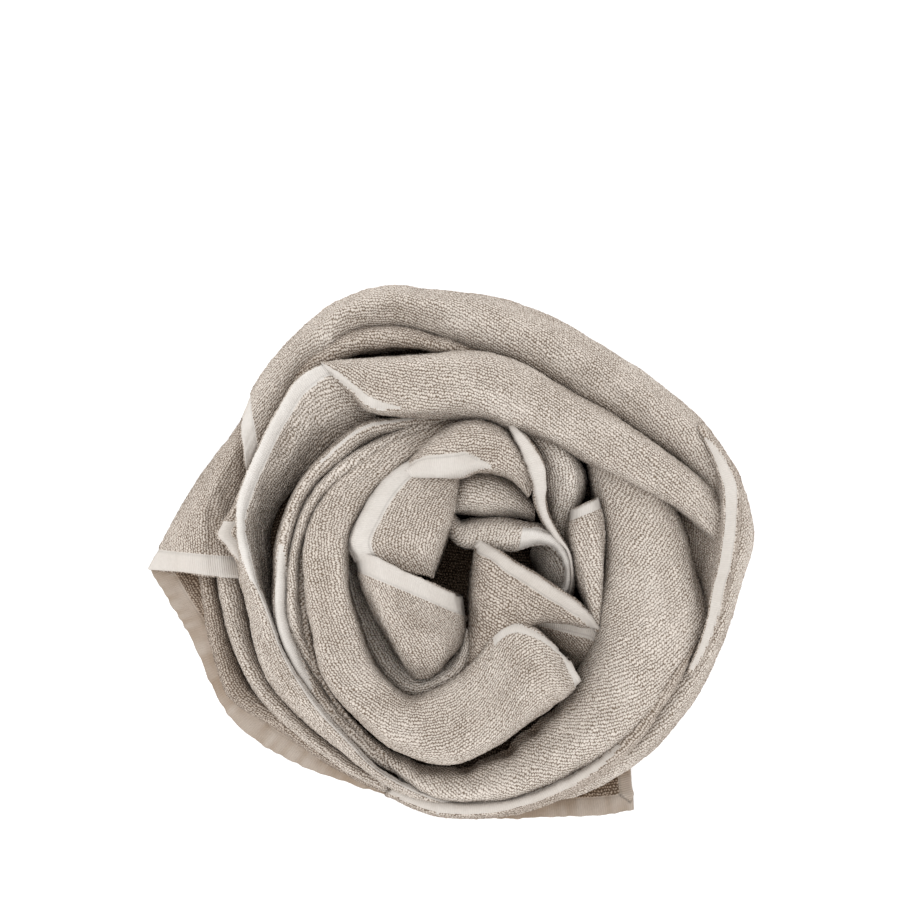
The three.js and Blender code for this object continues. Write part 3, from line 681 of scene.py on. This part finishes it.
def roll_over(grid, end, drop):
    """Adds the rounded free edge at one end of a fold and the cloth that hangs down behind it."""
    points, step = grid["points"], grid["step"]
    here, behind = (0, ROLL_BACK) if end == "start" else (-1, -1 - ROLL_BACK)
    edge = points[here]
    away = edge - points[behind]
    away[:, 2] = 0
    away = away / np.maximum(np.linalg.norm(away, axis=1, keepdims=True), 1e-6)
    quarter = ROLL_RADIUS * math.pi / 2
    count = int((quarter + drop) / step)
    distance = (np.arange(count) + 1) * step
    angle = np.minimum(distance / ROLL_RADIUS, math.pi / 2)
    below = np.maximum(distance - quarter, 0) + ROLL_RADIUS * (1 - np.cos(angle))
    more = edge[None] + away[None] * (ROLL_RADIUS * np.sin(angle))[:, None, None]
    more[..., 2] = np.maximum(more[..., 2] - below[:, None], LOWEST_EDGE)
    inside = np.repeat(grid["inside"][[here]], count, 0)
    across = np.repeat(grid["across"][[here]], count, 0)
    marks = {k: np.repeat(v[[here]], count) for k, v in grid["marks"].items()}
    along = -distance if end == "start" else grid["along"][-1] + distance
    joined = dict(points=more, inside=inside, across=across, along=along)
    for key, new in joined.items():
        old = grid[key]
        grid[key] = np.concatenate([new[::-1], old] if end == "start" else [old, new])
    for key, new in marks.items():
        old = grid["marks"][key]
        grid["marks"][key] = np.concatenate([new[::-1], old] if end == "start" else [old, new])


grids = {name: lay(name) for name in FOLDS}
print("grid points:", sum(g["inside"].sum() for g in grids.values()))

# %% [markdown]
# ## What shows
# Most of the wound cloth is hidden under other turns. A height map of the whole rosette, made from
# all the sheets, tells which grid points lie well below the cloth above them. Those are left out,
# save for a few mm that keep the sides closed when they are seen from low down. The heart stays whole,
# as it is the bottom of every gap. Casting a ray from every point would take far longer.

# %% Height map of the rosette
CELL = 1.6
MAP_HALF = 230
cells = int(2 * MAP_HALF / CELL)
heights = np.zeros((cells, cells))


def cell_of(points):
    index = ((points[..., :2] + MAP_HALF) / CELL).astype(int).clip(0, cells - 1)
    return index[..., 0], index[..., 1]


for grid in grids.values():
    shown = grid["points"][grid["inside"]]
    np.maximum.at(heights, cell_of(shown), shown[:, 2])


def spread(field, reach, choose):
    """Each cell's highest or lowest value within reach cells."""
    for axis in (0, 1):
        stack = [np.roll(field, k, axis) for k in range(-reach, reach + 1)]
        field = choose(stack, axis=0)
    return field


filled = spread(spread(heights, 1, np.max), 1, np.min)
COVER_REACH = 4
low_nearby = spread(filled, COVER_REACH, np.min)
DEEP = 9.0
for grid in grids.values():
    deep = DRESS[grid["name"]].get("deep", DEEP)
    hidden = grid["points"][..., 2] < low_nearby[cell_of(grid["points"])] - deep
    grid["shows"] = grid["inside"] & (~hidden | (grid["name"] == "heart"))
print("points that show:", sum(g["shows"].sum() for g in grids.values()))

# %% [markdown]
# The same map says how hollow a place is: how far it lies below the mean height round it, near by and
# further off. Loops in a hollow are packed closer and lit only by their neighbours, so the cloth looks
# darker and browner there. The light alone shows a part of this, and painted shade gives the rest: the
# colour is darkened and browned by how hollow and how deep each place lies. The table's shade adds painted
# shade to whole stretches, and painted light where it is below zero.

# %% How hollow each place is
HOLLOW_REACH = (2, 6, 14)
HOLLOW_SLOPE = 1.2
SUNK_FULLY = 25
HOLLOW_SHADE = 0.36
PALEST, BROWNEST = -0.3, 1
hollow_map = np.zeros_like(filled)
for reach in HOLLOW_REACH:
    below_mean = (spread(filled, reach, np.mean) - filled) / (reach * CELL * HOLLOW_SLOPE)
    hollow_map += below_mean.clip(0, 1) / len(HOLLOW_REACH)
hollow_map = spread(hollow_map, 1, np.mean)
# Painted shade: each point's hollowness and its depth below the map become shade in its colour.
for grid in grids.values():
    sunk = ((filled[cell_of(grid["points"])] - grid["points"][..., 2]) / SUNK_FULLY).clip(0, 1)
    grid["shade"] = HOLLOW_SHADE * (hollow_map[cell_of(grid["points"])] + sunk)
    grid["shade"] = (grid["shade"] + DRESS[grid["name"]].get("shade", 0)).clip(PALEST, BROWNEST)
print("hollow share:", round(float(hollow_map[heights > 0].mean()), 3))

# %% [markdown]
# ## Loops, hems and creases
# Towelling is rows of small loops that stand up from the cloth, with dark gaps between them. The
# hems are flat woven, so they lie lower than the loops, with a stitch line along them. The clumps of
# the loops and the step down to the hem are real relief, pushed out along the cloth's own normal.
# The cloth's creases are relief too. The main ones are placed one by one where they lie on the towel, and
# smooth noise that is stretched along the fold gives the small ones.

# %% Creases placed one by one
# Each is a soft ridge, or a trough where its height is negative: from x, y to x, y in mm, how wide
# it is to each side and how high.
CREASES = {
    "outer_sweep": [
        (-78, 170, -88, 150, 5, 1.8),
        (-88, 150, -97, 132, 5, 1.8),
        (-12, 166, -42, 170, 8, -2.0),
        (-42, 170, -66, 163, 7, -1.6),
        (30, 152, 78, 134, 7, 1.2),
        (96, 128, 132, 104, 6, -1.2),
    ],
    "back_ridge": [(-40, 148, -10, 152, 6, -1.5)],
    "left_flap": [
        (-178, 40, -176, 14, 4, 1.3),
        (-169, 36, -167, 6, 4, -1.2),
        (-158, 44, -157, 14, 5, -1.0),
    ],
    "left_rim": [
        (-134, -57, -108, -100, 2.2, -1.4),
        (-127, -60, -112, -86, 2.0, -1.2),
        (-131, -56, -112, -90, 2.0, 0.8),
    ],
    "lobe": [(-24, -46, -13, -50, 5, -2.4), (-30, -62, -16, -60, 6, 1.2), (-4, -58, 0, -84, 5, -1.0)],
    "ring": [
        (40, -67, 60, -83, 5, -1.8),
        (24, -77, 48, -96, 6, 1.2),
        (-48, -102, -22, -105, 5, -1.8),
        (-86, -20, -92, -56, 6, -1.2),
        (-78, -72, -64, -92, 6, 1.4),
        (66, -88, 74, -104, 5, -1.2),
    ],
    "bowl": [
        (-20, -149, 10, -146, 7, -4.0),
        (10, -146, 37, -134, 7, -4.0),
        (37, -134, 56, -121, 6, -3.5),
        (56, -121, 72, -107, 5, -3.0),
        (148, -12, 155, -42, 6, -1.6),
        (136, 6, 138, -30, 7, 1.2),
        (74, -139, 104, -120, 6, 1.5),
        (84, -128, 112, -106, 5, -1.2),
        (8, -134, 40, -138, 7, -1.3),
        (-82, -92, -60, -118, 6, 1.2),
    ],
    "middle_band": [(-60, 118, -34, 108, 6, -1.4), (10, 116, 50, 100, 7, 1.0), (96, 80, 128, 62, 6, -1.0)],
    "hood": [(-132, 44, -112, 86, 5, -1.4), (-118, 60, -100, 92, 5, 1.0)],
    "wedge": [(24, -34, 44, -44, 4, -1.2), (28, -24, 34, -50, 5, 1.0)],
    "crown": [(10, 68, 30, 72, 6, -1.8)],
    "right_fold": [(92, 20, 98, -20, 3, -0.8)],
}
print("creases placed by hand:", sum(len(lines) for lines in CREASES.values()))


def crease_height(name, points):
    """The mm by which the piece's listed creases raise its points."""
    raised = np.zeros(points.shape[:2])
    for x0, y0, x1, y1, width, height in CREASES.get(name, ()):
        start, way = np.array([x0, y0]), np.array([x1 - x0, y1 - y0])
        out = points[..., :2] - start
        share = ((out @ way) / (way @ way)).clip(0, 1)
        away = np.linalg.norm(out - share[..., None] * way, axis=2)
        raised += height * np.exp(-((away / width) ** 2))
    return raised


# %% Smooth noise
seeds = np.random.default_rng(11)


def soft_noise(x, y, size_x, size_y):
    """Smooth noise from -1 to 1 whose bumps are about size_x by size_y."""
    x, y = x / size_x, y / size_y
    x, y = x - x.min(), y - y.min()
    table = seeds.uniform(-1, 1, (int(x.max()) + 3, int(y.max()) + 3))
    i, j = x.astype(int), y.astype(int)
    u, v = x - i, y - j
    u, v = u * u * (3 - 2 * u), v * v * (3 - 2 * v)
    near = table[i, j] * (1 - u) + table[i + 1, j] * u
    far = table[i, j + 1] * (1 - u) + table[i + 1, j + 1] * u
    return near * (1 - v) + far * v


def ramp(value, start, end):
    """A soft step from 0 at start to 1 at end."""
    t = ((value - start) / (end - start)).clip(0, 1)
    return t * t * (3 - 2 * t)


# %% [markdown]
# A hem follows an edge of the cloth or one of the three marked lines, and may grow wider or narrower.
# What counts for its look is how far inside it a point lies, so that is worked out for each point.

# %% Where the hems lie
NO_HEM = -50.0
NO_LIMIT = 99


def hem_depth(grid):
    """How far each point is inside the nearest hem, the hem's width, and the way run along it, in mm."""
    along, across = grid["along"][:, None], grid["across"]
    share = along / grid["length"]
    depth = np.full(across.shape, NO_HEM)
    width_there = np.full(across.shape, 10.0)
    along_hem = np.broadcast_to(along, across.shape)
    for edge, start_width, end_width, first, last in DRESS[grid["name"]].get("hems", ()):
        part = ((share - first) / (last - first)).clip(0, 1)
        width = start_width + (end_width - start_width) * part
        if edge == "start":
            away = np.broadcast_to(np.abs(along), across.shape)
        elif edge == "end":
            away = np.broadcast_to(np.abs(along - grid["length"]), across.shape)
        else:
            mark, _, side = edge.partition("_")
            inward = across - grid["marks"][mark][:, None]
            away = {"out": -inward, "in": inward, "": np.abs(inward)}[side]
            away = np.where(away < 0, width + 1, away)
        inside = width - away
        beyond = np.maximum(first - share, share - last) * grid["length"]
        past_end = (share < first) & (first > 0) | (share > last) & (last < 1)
        inside = np.minimum(inside, np.where(past_end, -beyond, NO_LIMIT))
        nearer = inside > depth
        depth = np.where(nearer, inside, depth)
        width_there = np.where(nearer, width, width_there)
        along_hem = np.where(nearer, across if edge in ("start", "end") else along, along_hem)
    return depth, width_there, along_hem


print("grid points on a hem:", sum((hem_depth(grid)[0] > 0).sum() for grid in grids.values()))

# %% [markdown]
# The relief of one grid, in mm along its normals. Subdividing and displacing in Blender could do it
# too, but here every value stays at hand for the shade, the stitch line and the choice of material.

# %% Relief of loops, hems and creases
CREASE_NOISE = ((1.1, 70, 16), (0.55, 26, 9), (0.35, 10, 7))
LOOP_HEIGHT = 0.42
NAP_HEIGHT = 0.25
PILE = 0.9
STITCH_IN = 1.8
STITCH_HALF_WIDTH = 0.6
NARROWEST_STITCHED = 7
PUCKER = 0.25
PUCKER_SHADE = 3


def normals_of(points):
    """Unit normals of a grid of points, turned so that they point up at its crest."""
    along, across = np.gradient(points, axis=0), np.gradient(points, axis=1)
    normal = np.cross(along, across)
    normal /= np.maximum(np.linalg.norm(normal, axis=2, keepdims=True), 1e-9)
    crest = np.argmax(points[..., 2].mean(0))
    return normal if normal[:, crest, 2].mean() > 0 else -normal


def relief(grid):
    """Each point's mm pushed out, its crease and hem ripple for painted shade, share of hem and of stitch
    line, and place on a hem.
    """
    shape = grid["across"].shape
    along = np.broadcast_to(grid["along"][:, None], shape)
    across = grid["across"]
    rows, columns = np.indices(shape)
    creases = crease_height(grid["name"], grid["points"])
    for height, size_along, size_across in CREASE_NOISE:
        creases = creases + height * soft_noise(along, across, size_along, size_across)
    grains = seeds.uniform(-1, 1, shape)
    clumps = seeds.uniform(-1, 1, (shape[0] // 2 + 2, shape[1] // 2 + 2))
    loops = 0.5 * clumps[(rows + columns // 2 % 2) // 2, columns // 2] + 0.5 * grains
    nap = soft_noise(along, across, 5, 4)
    depth, width, along_hem = hem_depth(grid)
    hem = ramp(depth, -0.4, 0.6)
    stitch = np.exp(-(((depth - STITCH_IN) / STITCH_HALF_WIDTH) ** 2)) * (width > NARROWEST_STITCHED)
    fine = LOOP_HEIGHT * loops + NAP_HEIGHT * nap
    ripple = soft_noise(along_hem, depth.clip(-30, 30), 4, 25)
    pucker = DRESS[grid["name"]].get("pucker", PUCKER) * ripple
    push = creases + (PILE + fine) * (1 - hem) + (0.08 * grains - 0.15 * stitch + pucker) * hem
    # The second value feeds painted shade: crease troughs and the hem's ripples are painted darker, their
    # ridges paler.
    return push, creases + PUCKER_SHADE * pucker * hem, hem, stitch * hem, along_hem


# %% [markdown]
# ## Towelling and hem
# The same cotton looks different in the two weaves: the towelling has pale loop tips and
# brown gaps, and the hem is plain, smooth and paler. A picture could give both, but patterns worked
# out from the cloth's own mm stay sharp from near by. What both finishes need are node groups.

# %% Shader helpers
def node(tree, kind, **inputs):
    """A new node whose inputs, named or numbered, are set to a value or linked to a socket."""
    made = tree.nodes.new(kind)
    for key, value in inputs.items():
        socket = made.inputs[key.replace("_", " ")] if not key.isdigit() else made.inputs[int(key)]
        if isinstance(value, bpy.types.NodeSocket):
            tree.links.new(value, socket)
        else:
            socket.default_value = value
    return made


def group(name, takes, gives):
    """An empty node group with named inputs and outputs, its input node and its output node."""
    tree = bpy.data.node_groups.new(name, "ShaderNodeTree")
    for title, kind, value in takes:
        socket = tree.interface.new_socket(title, in_out="INPUT", socket_type=kind)
        if value is not None:
            socket.default_value = value
    for title, kind in gives:
        tree.interface.new_socket(title, in_out="OUTPUT", socket_type=kind)
    return tree, tree.nodes.new("NodeGroupInput"), tree.nodes.new("NodeGroupOutput")


def math_node(tree, operation, *values):
    """The output of a new maths node."""
    made = node(tree, "ShaderNodeMath", **{str(k): value for k, value in enumerate(values)})
    made.operation = operation
    return made.outputs[0]


def colour_through(tree, made_group, colour, **inputs):
    """The colour that comes out of a group when a colour, a value or a socket, goes in."""
    used = node(tree, "ShaderNodeGroup")
    used.node_tree = made_group
    if isinstance(colour, bpy.types.NodeSocket):
        tree.links.new(colour, used.inputs["Colour"])
    else:
        used.inputs["Colour"].default_value = colour
    for key, value in inputs.items():
        used.inputs[key].default_value = value
    return used.outputs["Colour"]


# %% [markdown]
# Washed cotton isn't one even colour. The first group lets any colour drift a little, broadly over a
# hand's width and finely from thread to thread.

# %% Colour that drifts a little over the cloth
BROAD_SCALE = 14.0
FINE_SCALE = 420.0


def make_drift():
    tree, takes, gives = group(
        "washed_cotton",
        [("Colour", "NodeSocketColor", (1, 1, 1, 1)), ("Amount", "NodeSocketFloat", 0.1)],
        [("Colour", "NodeSocketColor")],
    )
    place = node(tree, "ShaderNodeTexCoord")
    broad = node(tree, "ShaderNodeTexNoise", Vector=place.outputs["Object"], Scale=BROAD_SCALE, Detail=3.0)
    fine = node(tree, "ShaderNodeTexNoise", Vector=place.outputs["Object"], Scale=FINE_SCALE, Detail=2.0)
    both = math_node(tree, "ADD", broad.outputs["Fac"], fine.outputs["Fac"])
    centred = math_node(tree, "ADD", both, -1.0)
    bright = math_node(tree, "MULTIPLY_ADD", centred, takes.outputs["Amount"], 1.0)
    out = node(tree, "ShaderNodeHueSaturation", Value=bright, Color=takes.outputs["Colour"])
    tree.links.new(out.outputs["Color"], gives.inputs["Colour"])
    return tree


washed = make_drift()
print("group:", washed.name)

# %% [markdown]
# The second group paints shade into a colour: it darkens and browns it by the sheets' painted shade, which
# was worked out above from how hollow each place is.

# %% Painted shade: browner cloth in the hollows
HOLLOW_TINT = (0.46, 0.375, 0.30, 1)


def make_hollow():
    tree, takes, gives = group(
        "painted_fold_shade", [("Colour", "NodeSocketColor", (1, 1, 1, 1))], [("Colour", "NodeSocketColor")]
    )
    sunk = node(tree, "ShaderNodeAttribute")
    sunk.attribute_name = "shade"
    tint = node(tree, "ShaderNodeMix")
    tint.data_type = "RGBA"
    tint.clamp_factor = False
    tree.links.new(sunk.outputs["Fac"], tint.inputs[0])
    tint.inputs[6].default_value = (1, 1, 1, 1)
    tint.inputs[7].default_value = HOLLOW_TINT
    both = node(tree, "ShaderNodeMix")
    both.data_type = "RGBA"
    both.blend_type = "MULTIPLY"
    both.inputs[0].default_value = 1.0
    tree.links.new(takes.outputs["Colour"], both.inputs[6])
    tree.links.new(tint.outputs[2], both.inputs[7])
    tree.links.new(both.outputs[2], gives.inputs["Colour"])
    return tree


painted_fold_shade = make_hollow()
print("group:", painted_fold_shade.name)

# %% Dull cotton
def cloth_material(name):
    """A matt cotton with its node tree and its shader."""
    material = bpy.data.materials.new(name)
    material.use_nodes = True
    tree = material.node_tree
    shader = tree.nodes["Principled BSDF"]
    shader.inputs["Roughness"].default_value = 0.92
    shader.inputs["Specular IOR Level"].default_value = 0.15
    shader.inputs["Sheen Weight"].default_value = 0.04
    shader.inputs["Sheen Roughness"].default_value = 0.5
    return material, tree, shader


# %% [markdown]
# Loops stand in rows, staggered like bricks, and no two are alike. Two cosine waves give the rows and
# the loops in them, a slow noise sways the rows, and a fast one makes each loop ragged. Where the
# pile leans over in patches, the gaps close and the cloth looks paler.

# %% Loops of towelling
ROW_PITCH = 2.1 * MM
LOOP_PITCH = 2.0 * MM
SWAY = 4.2 * MM
SWAY_SCALE = 150.0
RAGGED_SCALE = 550.0
PATCH_SCALE = 28.0
PATCH_LIFT = 0.16


def make_loops():
    tree, takes, gives = group(
        "loops",
        [("Row Pitch", "NodeSocketFloat", ROW_PITCH), ("Loop Pitch", "NodeSocketFloat", LOOP_PITCH)],
        [("Height", "NodeSocketFloat"), ("Shade", "NodeSocketFloat")],
    )
    cloth_map = node(tree, "ShaderNodeUVMap")
    cloth_map.uv_map = "cloth"
    laid = cloth_map.outputs["UV"]
    sway = node(tree, "ShaderNodeTexNoise", Vector=laid, Scale=SWAY_SCALE, Detail=2.0)
    centred = node(tree, "ShaderNodeVectorMath", **{"0": sway.outputs["Color"], "1": (-0.5, -0.5, -0.5)})
    pushed = node(tree, "ShaderNodeVectorMath", **{"0": centred.outputs[0], "1": (SWAY, SWAY, 0.0)})
    pushed.operation = "MULTIPLY"
    moved = node(tree, "ShaderNodeVectorMath", **{"0": laid, "1": pushed.outputs[0]})
    split = node(tree, "ShaderNodeSeparateXYZ", Vector=moved.outputs[0])
    row_turn = math_node(tree, "DIVIDE", 2 * math.pi, takes.outputs["Row Pitch"])
    loop_turn = math_node(tree, "DIVIDE", 2 * math.pi, takes.outputs["Loop Pitch"])
    rows = math_node(tree, "COSINE", math_node(tree, "MULTIPLY", split.outputs[0], row_turn))
    rows_across = math_node(tree, "DIVIDE", split.outputs[0], takes.outputs["Row Pitch"])
    row_number = math_node(tree, "FLOOR", rows_across)
    loop_way = math_node(tree, "MULTIPLY", split.outputs[1], loop_turn)
    spots = math_node(tree, "COSINE", math_node(tree, "MULTIPLY_ADD", row_number, math.pi, loop_way))
    threads = node(tree, "ShaderNodeTexNoise", Vector=laid, Scale=RAGGED_SCALE, Detail=1.0)
    ragged = math_node(tree, "SUBTRACT", threads.outputs["Fac"], 0.5)
    height = math_node(tree, "MULTIPLY_ADD", rows, -0.32, 0.5)
    height = math_node(tree, "MULTIPLY_ADD", spots, 0.3, height)
    height = math_node(tree, "MULTIPLY_ADD", ragged, 1.35, height)
    tree.links.new(height, gives.inputs["Height"])
    patches = node(tree, "ShaderNodeTexNoise", Vector=laid, Scale=PATCH_SCALE, Detail=2.0)
    leaning = node(tree, "ShaderNodeMapRange", Value=patches.outputs["Fac"])
    leaning.inputs["From Min"].default_value = 0.42
    leaning.inputs["From Max"].default_value = 0.68
    leaning.inputs["To Max"].default_value = PATCH_LIFT
    lifted = math_node(tree, "ADD", height, leaning.outputs[0])
    shade = node(tree, "ShaderNodeMapRange", Value=lifted)
    shade.interpolation_type = "SMOOTHSTEP"
    # Painted shade: where the sheet's shade is high, more of each loop is painted in the gap's brown.
    sunk = node(tree, "ShaderNodeAttribute")
    sunk.attribute_name = "shade"
    darkest = math_node(tree, "MULTIPLY_ADD", sunk.outputs["Fac"], 0.36, 0.0)
    palest = math_node(tree, "MULTIPLY_ADD", sunk.outputs["Fac"], 0.22, 0.9)
    tree.links.new(darkest, shade.inputs["From Min"])
    tree.links.new(palest, shade.inputs["From Max"])
    tree.links.new(shade.outputs[0], gives.inputs["Shade"])
    return tree


loop_pattern = make_loops()
print("group:", loop_pattern.name, "with rows", round(ROW_PITCH / MM, 1), "mm apart")

# %% [markdown]
# ### Towelling
# The loops' height colours them: the tips are pale, and the gaps between them are painted brown as the
# shade that falls between the loops.
# A bump from the same height rounds each loop, which is too small for the mesh to hold.

# %% Towelling
TIP = (0.552, 0.496, 0.442, 1)
GAP = (0.142, 0.105, 0.074, 1)
TERRY_DRIFT = 0.1
LOOP_BUMP = 0.6 * MM
terry, tree, shader = cloth_material("terry")
loops = node(tree, "ShaderNodeGroup")
loops.node_tree = loop_pattern
mix = node(tree, "ShaderNodeMix")
mix.data_type = "RGBA"
tree.links.new(loops.outputs["Shade"], mix.inputs[0])
mix.inputs[6].default_value = GAP
mix.inputs[7].default_value = TIP
drifting = colour_through(tree, washed, mix.outputs[2], Amount=TERRY_DRIFT)
tree.links.new(colour_through(tree, painted_fold_shade, drifting), shader.inputs["Base Color"])
bump = node(tree, "ShaderNodeBump", Height=loops.outputs["Height"], Strength=1.0, Distance=LOOP_BUMP)
tree.links.new(bump.outputs["Normal"], shader.inputs["Normal"])
print("material:", terry.name)

# %% [markdown]
# ### Hem
# A hem is woven flat, with fine ribs across it and one line of stitches near its inner edge. Ribs
# need a direction, so each sheet hands over the way run along its hem in mm, and a sine of it does
# for both their colour and their bump.

# %% Hem
HEM_COLOUR = (0.520, 0.486, 0.450, 1)
HEM_DRIFT = 0.14
STITCH_SHADE = 0.8
RIB_PITCH_MM = 1.55
RIB_BUMP = 0.15 * MM
hem_cloth, tree, shader = cloth_material("hem")
drifting = colour_through(tree, washed, HEM_COLOUR, Amount=HEM_DRIFT)
seam = node(tree, "ShaderNodeAttribute")
seam.attribute_name = "stitch"
thread_shade = node(tree, "ShaderNodeMapRange", Value=seam.outputs["Fac"])
thread_shade.inputs["To Min"].default_value = 1.0
thread_shade.inputs["To Max"].default_value = STITCH_SHADE
run = node(tree, "ShaderNodeAttribute")
run.attribute_name = "hem_run"
turns = math_node(tree, "MULTIPLY", run.outputs["Fac"], 2 * math.pi / RIB_PITCH_MM)
ribs = math_node(tree, "SINE", turns)
rib_shade = math_node(tree, "MULTIPLY_ADD", ribs, 0.03, 0.97)
both_shades = math_node(tree, "MULTIPLY", rib_shade, thread_shade.outputs["Result"])
darker = node(tree, "ShaderNodeHueSaturation", Color=drifting, Value=both_shades)
tree.links.new(colour_through(tree, painted_fold_shade, darker.outputs["Color"]), shader.inputs["Base Color"])
bump = node(tree, "ShaderNodeBump", Height=ribs, Strength=0.8, Distance=RIB_BUMP)
tree.links.new(bump.outputs["Normal"], shader.inputs["Normal"])
print("material:", hem_cloth.name)

# %% [markdown]
# ## Making the sheets
# Each grid becomes one mesh object. Faces are kept only where all four corners show, and each face
# takes the towelling or the hem by where it lies. Making the mesh from arrays is quicker than adding
# faces one by one, and the grid's own mm serve as the loops' map.

# %% Faces, map and values of one sheet
CREASE_SHADE = 0.06
LOWEST_POINT = 0.3


def faces_of(shows, points):
    """Four corners for each face whose corners all show, wound so that most faces look up."""
    whole = shows[:-1, :-1] & shows[1:, :-1] & shows[1:, 1:] & shows[:-1, 1:]
    number = np.arange(shows.size).reshape(shows.shape)
    corners = [number[:-1, :-1], number[1:, :-1], number[1:, 1:], number[:-1, 1:]]
    quads = np.stack([c[whole] for c in corners], 1)
    edge_a = points[quads[:, 2]] - points[quads[:, 0]]
    edge_b = points[quads[:, 3]] - points[quads[:, 1]]
    return quads[:, ::-1] if np.cross(edge_a, edge_b)[:, 2].sum() < 0 else quads


def mesh_of(name, points, quads):
    """A smooth mesh of the points and faces."""
    mesh = bpy.data.meshes.new(name)
    mesh.vertices.add(len(points))
    mesh.vertices.foreach_set("co", points.ravel())
    mesh.loops.add(quads.size)
    mesh.loops.foreach_set("vertex_index", quads.ravel().astype(np.int32))
    mesh.polygons.add(len(quads))
    mesh.polygons.foreach_set("loop_start", np.arange(0, quads.size, 4, dtype=np.int32))
    mesh.update(calc_edges=True)
    mesh.polygons.foreach_set("use_smooth", np.ones(len(quads), bool))
    return mesh


def loop_map(grid):
    """Each point's place over and along the loop rows, in mm."""
    dress = DRESS[grid["name"]]
    turn = math.radians(dress.get("turn", 0))
    across = grid["across"] / dress.get("spread", 1)
    along = np.broadcast_to(grid["along"][:, None], across.shape)
    over_rows = across * math.cos(turn) - along * math.sin(turn)
    along_rows = along * math.cos(turn) + across * math.sin(turn)
    return np.stack([over_rows, along_rows], -1).reshape(-1, 2)


# %% Build one sheet
def make_sheet(grid):
    """Makes one fold's sheet and returns how many triangles it has."""
    name = grid["name"]
    push, creases, hem, stitch, hem_run = relief(grid)
    # Painted shade: crease troughs and hem ripples darken and brown the colour, ridges pale it.
    shade = (grid["shade"] - CREASE_SHADE * creases).clip(PALEST, BROWNEST)
    points = grid["points"] + normals_of(grid["points"]) * push[..., None]
    points[..., 2] = np.maximum(points[..., 2], LOWEST_POINT)
    points = points.reshape(-1, 3)
    used, quads = np.unique(faces_of(grid["shows"], points), return_inverse=True)
    quads = quads.reshape(-1, 4)
    mesh = mesh_of(name, (points[used] - (MIDDLE_X, MIDDLE_Y, 0)) * MM, quads)
    for title, values in (("shade", shade), ("stitch", stitch), ("hem_run", hem_run)):
        layer = mesh.attributes.new(title, "FLOAT", "POINT")
        layer.data.foreach_set("value", values.reshape(-1)[used].astype(np.float32))
    laid = mesh.uv_layers.new(name="cloth")
    places = loop_map(grid)[used][quads.ravel()] * MM
    laid.uv.foreach_set("vector", places.astype(np.float32).ravel())
    mesh.materials.append(terry)
    mesh.materials.append(hem_cloth)
    is_hem = hem.reshape(-1)[used][quads].mean(1) > 0.5
    mesh.polygons.foreach_set("material_index", is_hem.astype(np.int32))
    piece = bpy.data.objects.new("cloth_" + name, mesh)
    bpy.context.scene.collection.objects.link(piece)
    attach(piece, "root")
    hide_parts("towel")
    return 2 * len(quads)


print("triangles in all:", sum(make_sheet(grid) for grid in grids.values()))

# %% [markdown]
# ## Floor and light
# The towel lies on white paper that is lit until it shows as pure white, so the paper gives off a
# little light of its own. A second lamp below a glass floor would do the same with more trouble.

# %% Floor
FLOOR_HALF = 4
floor_corners = [(x * FLOOR_HALF, y * FLOOR_HALF, 0) for x, y in ((-1, -1), (1, -1), (1, 1), (-1, 1))]
floor_mesh = bpy.data.meshes.new("floor")
floor_mesh.from_pydata(floor_corners, [], [(0, 1, 2, 3)])
floor = bpy.data.objects.new("floor", floor_mesh)
bpy.context.scene.collection.objects.link(floor)
paper = bpy.data.materials.new("paper")
paper.use_nodes = True
paper_shader = paper.node_tree.nodes["Principled BSDF"]
paper_shader.inputs["Base Color"].default_value = (0.9, 0.9, 0.9, 1)
paper_shader.inputs["Roughness"].default_value = 0.8
paper_shader.inputs["Emission Color"].default_value = (1, 1, 1, 1)
paper_shader.inputs["Emission Strength"].default_value = 0.2
floor_mesh.materials.append(paper)
print("material:", paper.name)

# %% [markdown]
# In a white studio light comes from all round. The sky here is stronger towards the horizon than
# overhead, which brings out the loops and keeps the sides of the folds pale. Several lamps in a ring
# could do this too, but each would leave its own shadow. One weak soft box stands at the left.

# %% Lights
SKY_AT_HORIZON = 2.2
SKY_OVERHEAD = 1.28
BOX_PLACE = (-0.9, 0.3, 2.2)
BOX_SIZE = 1.6
BOX_POWER = 6
world = bpy.data.worlds.new("studio")
bpy.context.scene.world = world
world.use_nodes = True
sky = world.node_tree.nodes["Background"]
sky.inputs["Color"].default_value = (1, 1, 1, 1)
way = node(world.node_tree, "ShaderNodeTexCoord")
split = node(world.node_tree, "ShaderNodeSeparateXYZ", Vector=way.outputs["Generated"])
height = node(world.node_tree, "ShaderNodeMapRange", Value=split.outputs["Z"])
height.inputs["To Min"].default_value = SKY_AT_HORIZON
height.inputs["To Max"].default_value = SKY_OVERHEAD
world.node_tree.links.new(height.outputs["Result"], sky.inputs["Strength"])
lamp = bpy.data.lights.new("soft_box", "AREA")
lamp.size = BOX_SIZE
lamp.energy = BOX_POWER
soft_box = bpy.data.objects.new("soft_box", lamp)
soft_box.location = BOX_PLACE
soft_box.rotation_euler = Vector([-value for value in BOX_PLACE]).to_track_quat("-Z", "Y").to_euler()
bpy.context.scene.collection.objects.link(soft_box)
bpy.context.scene.view_settings.view_transform = "Standard"
print("soft box of", BOX_POWER, "W and a sky from", SKY_AT_HORIZON, "to", SKY_OVERHEAD)
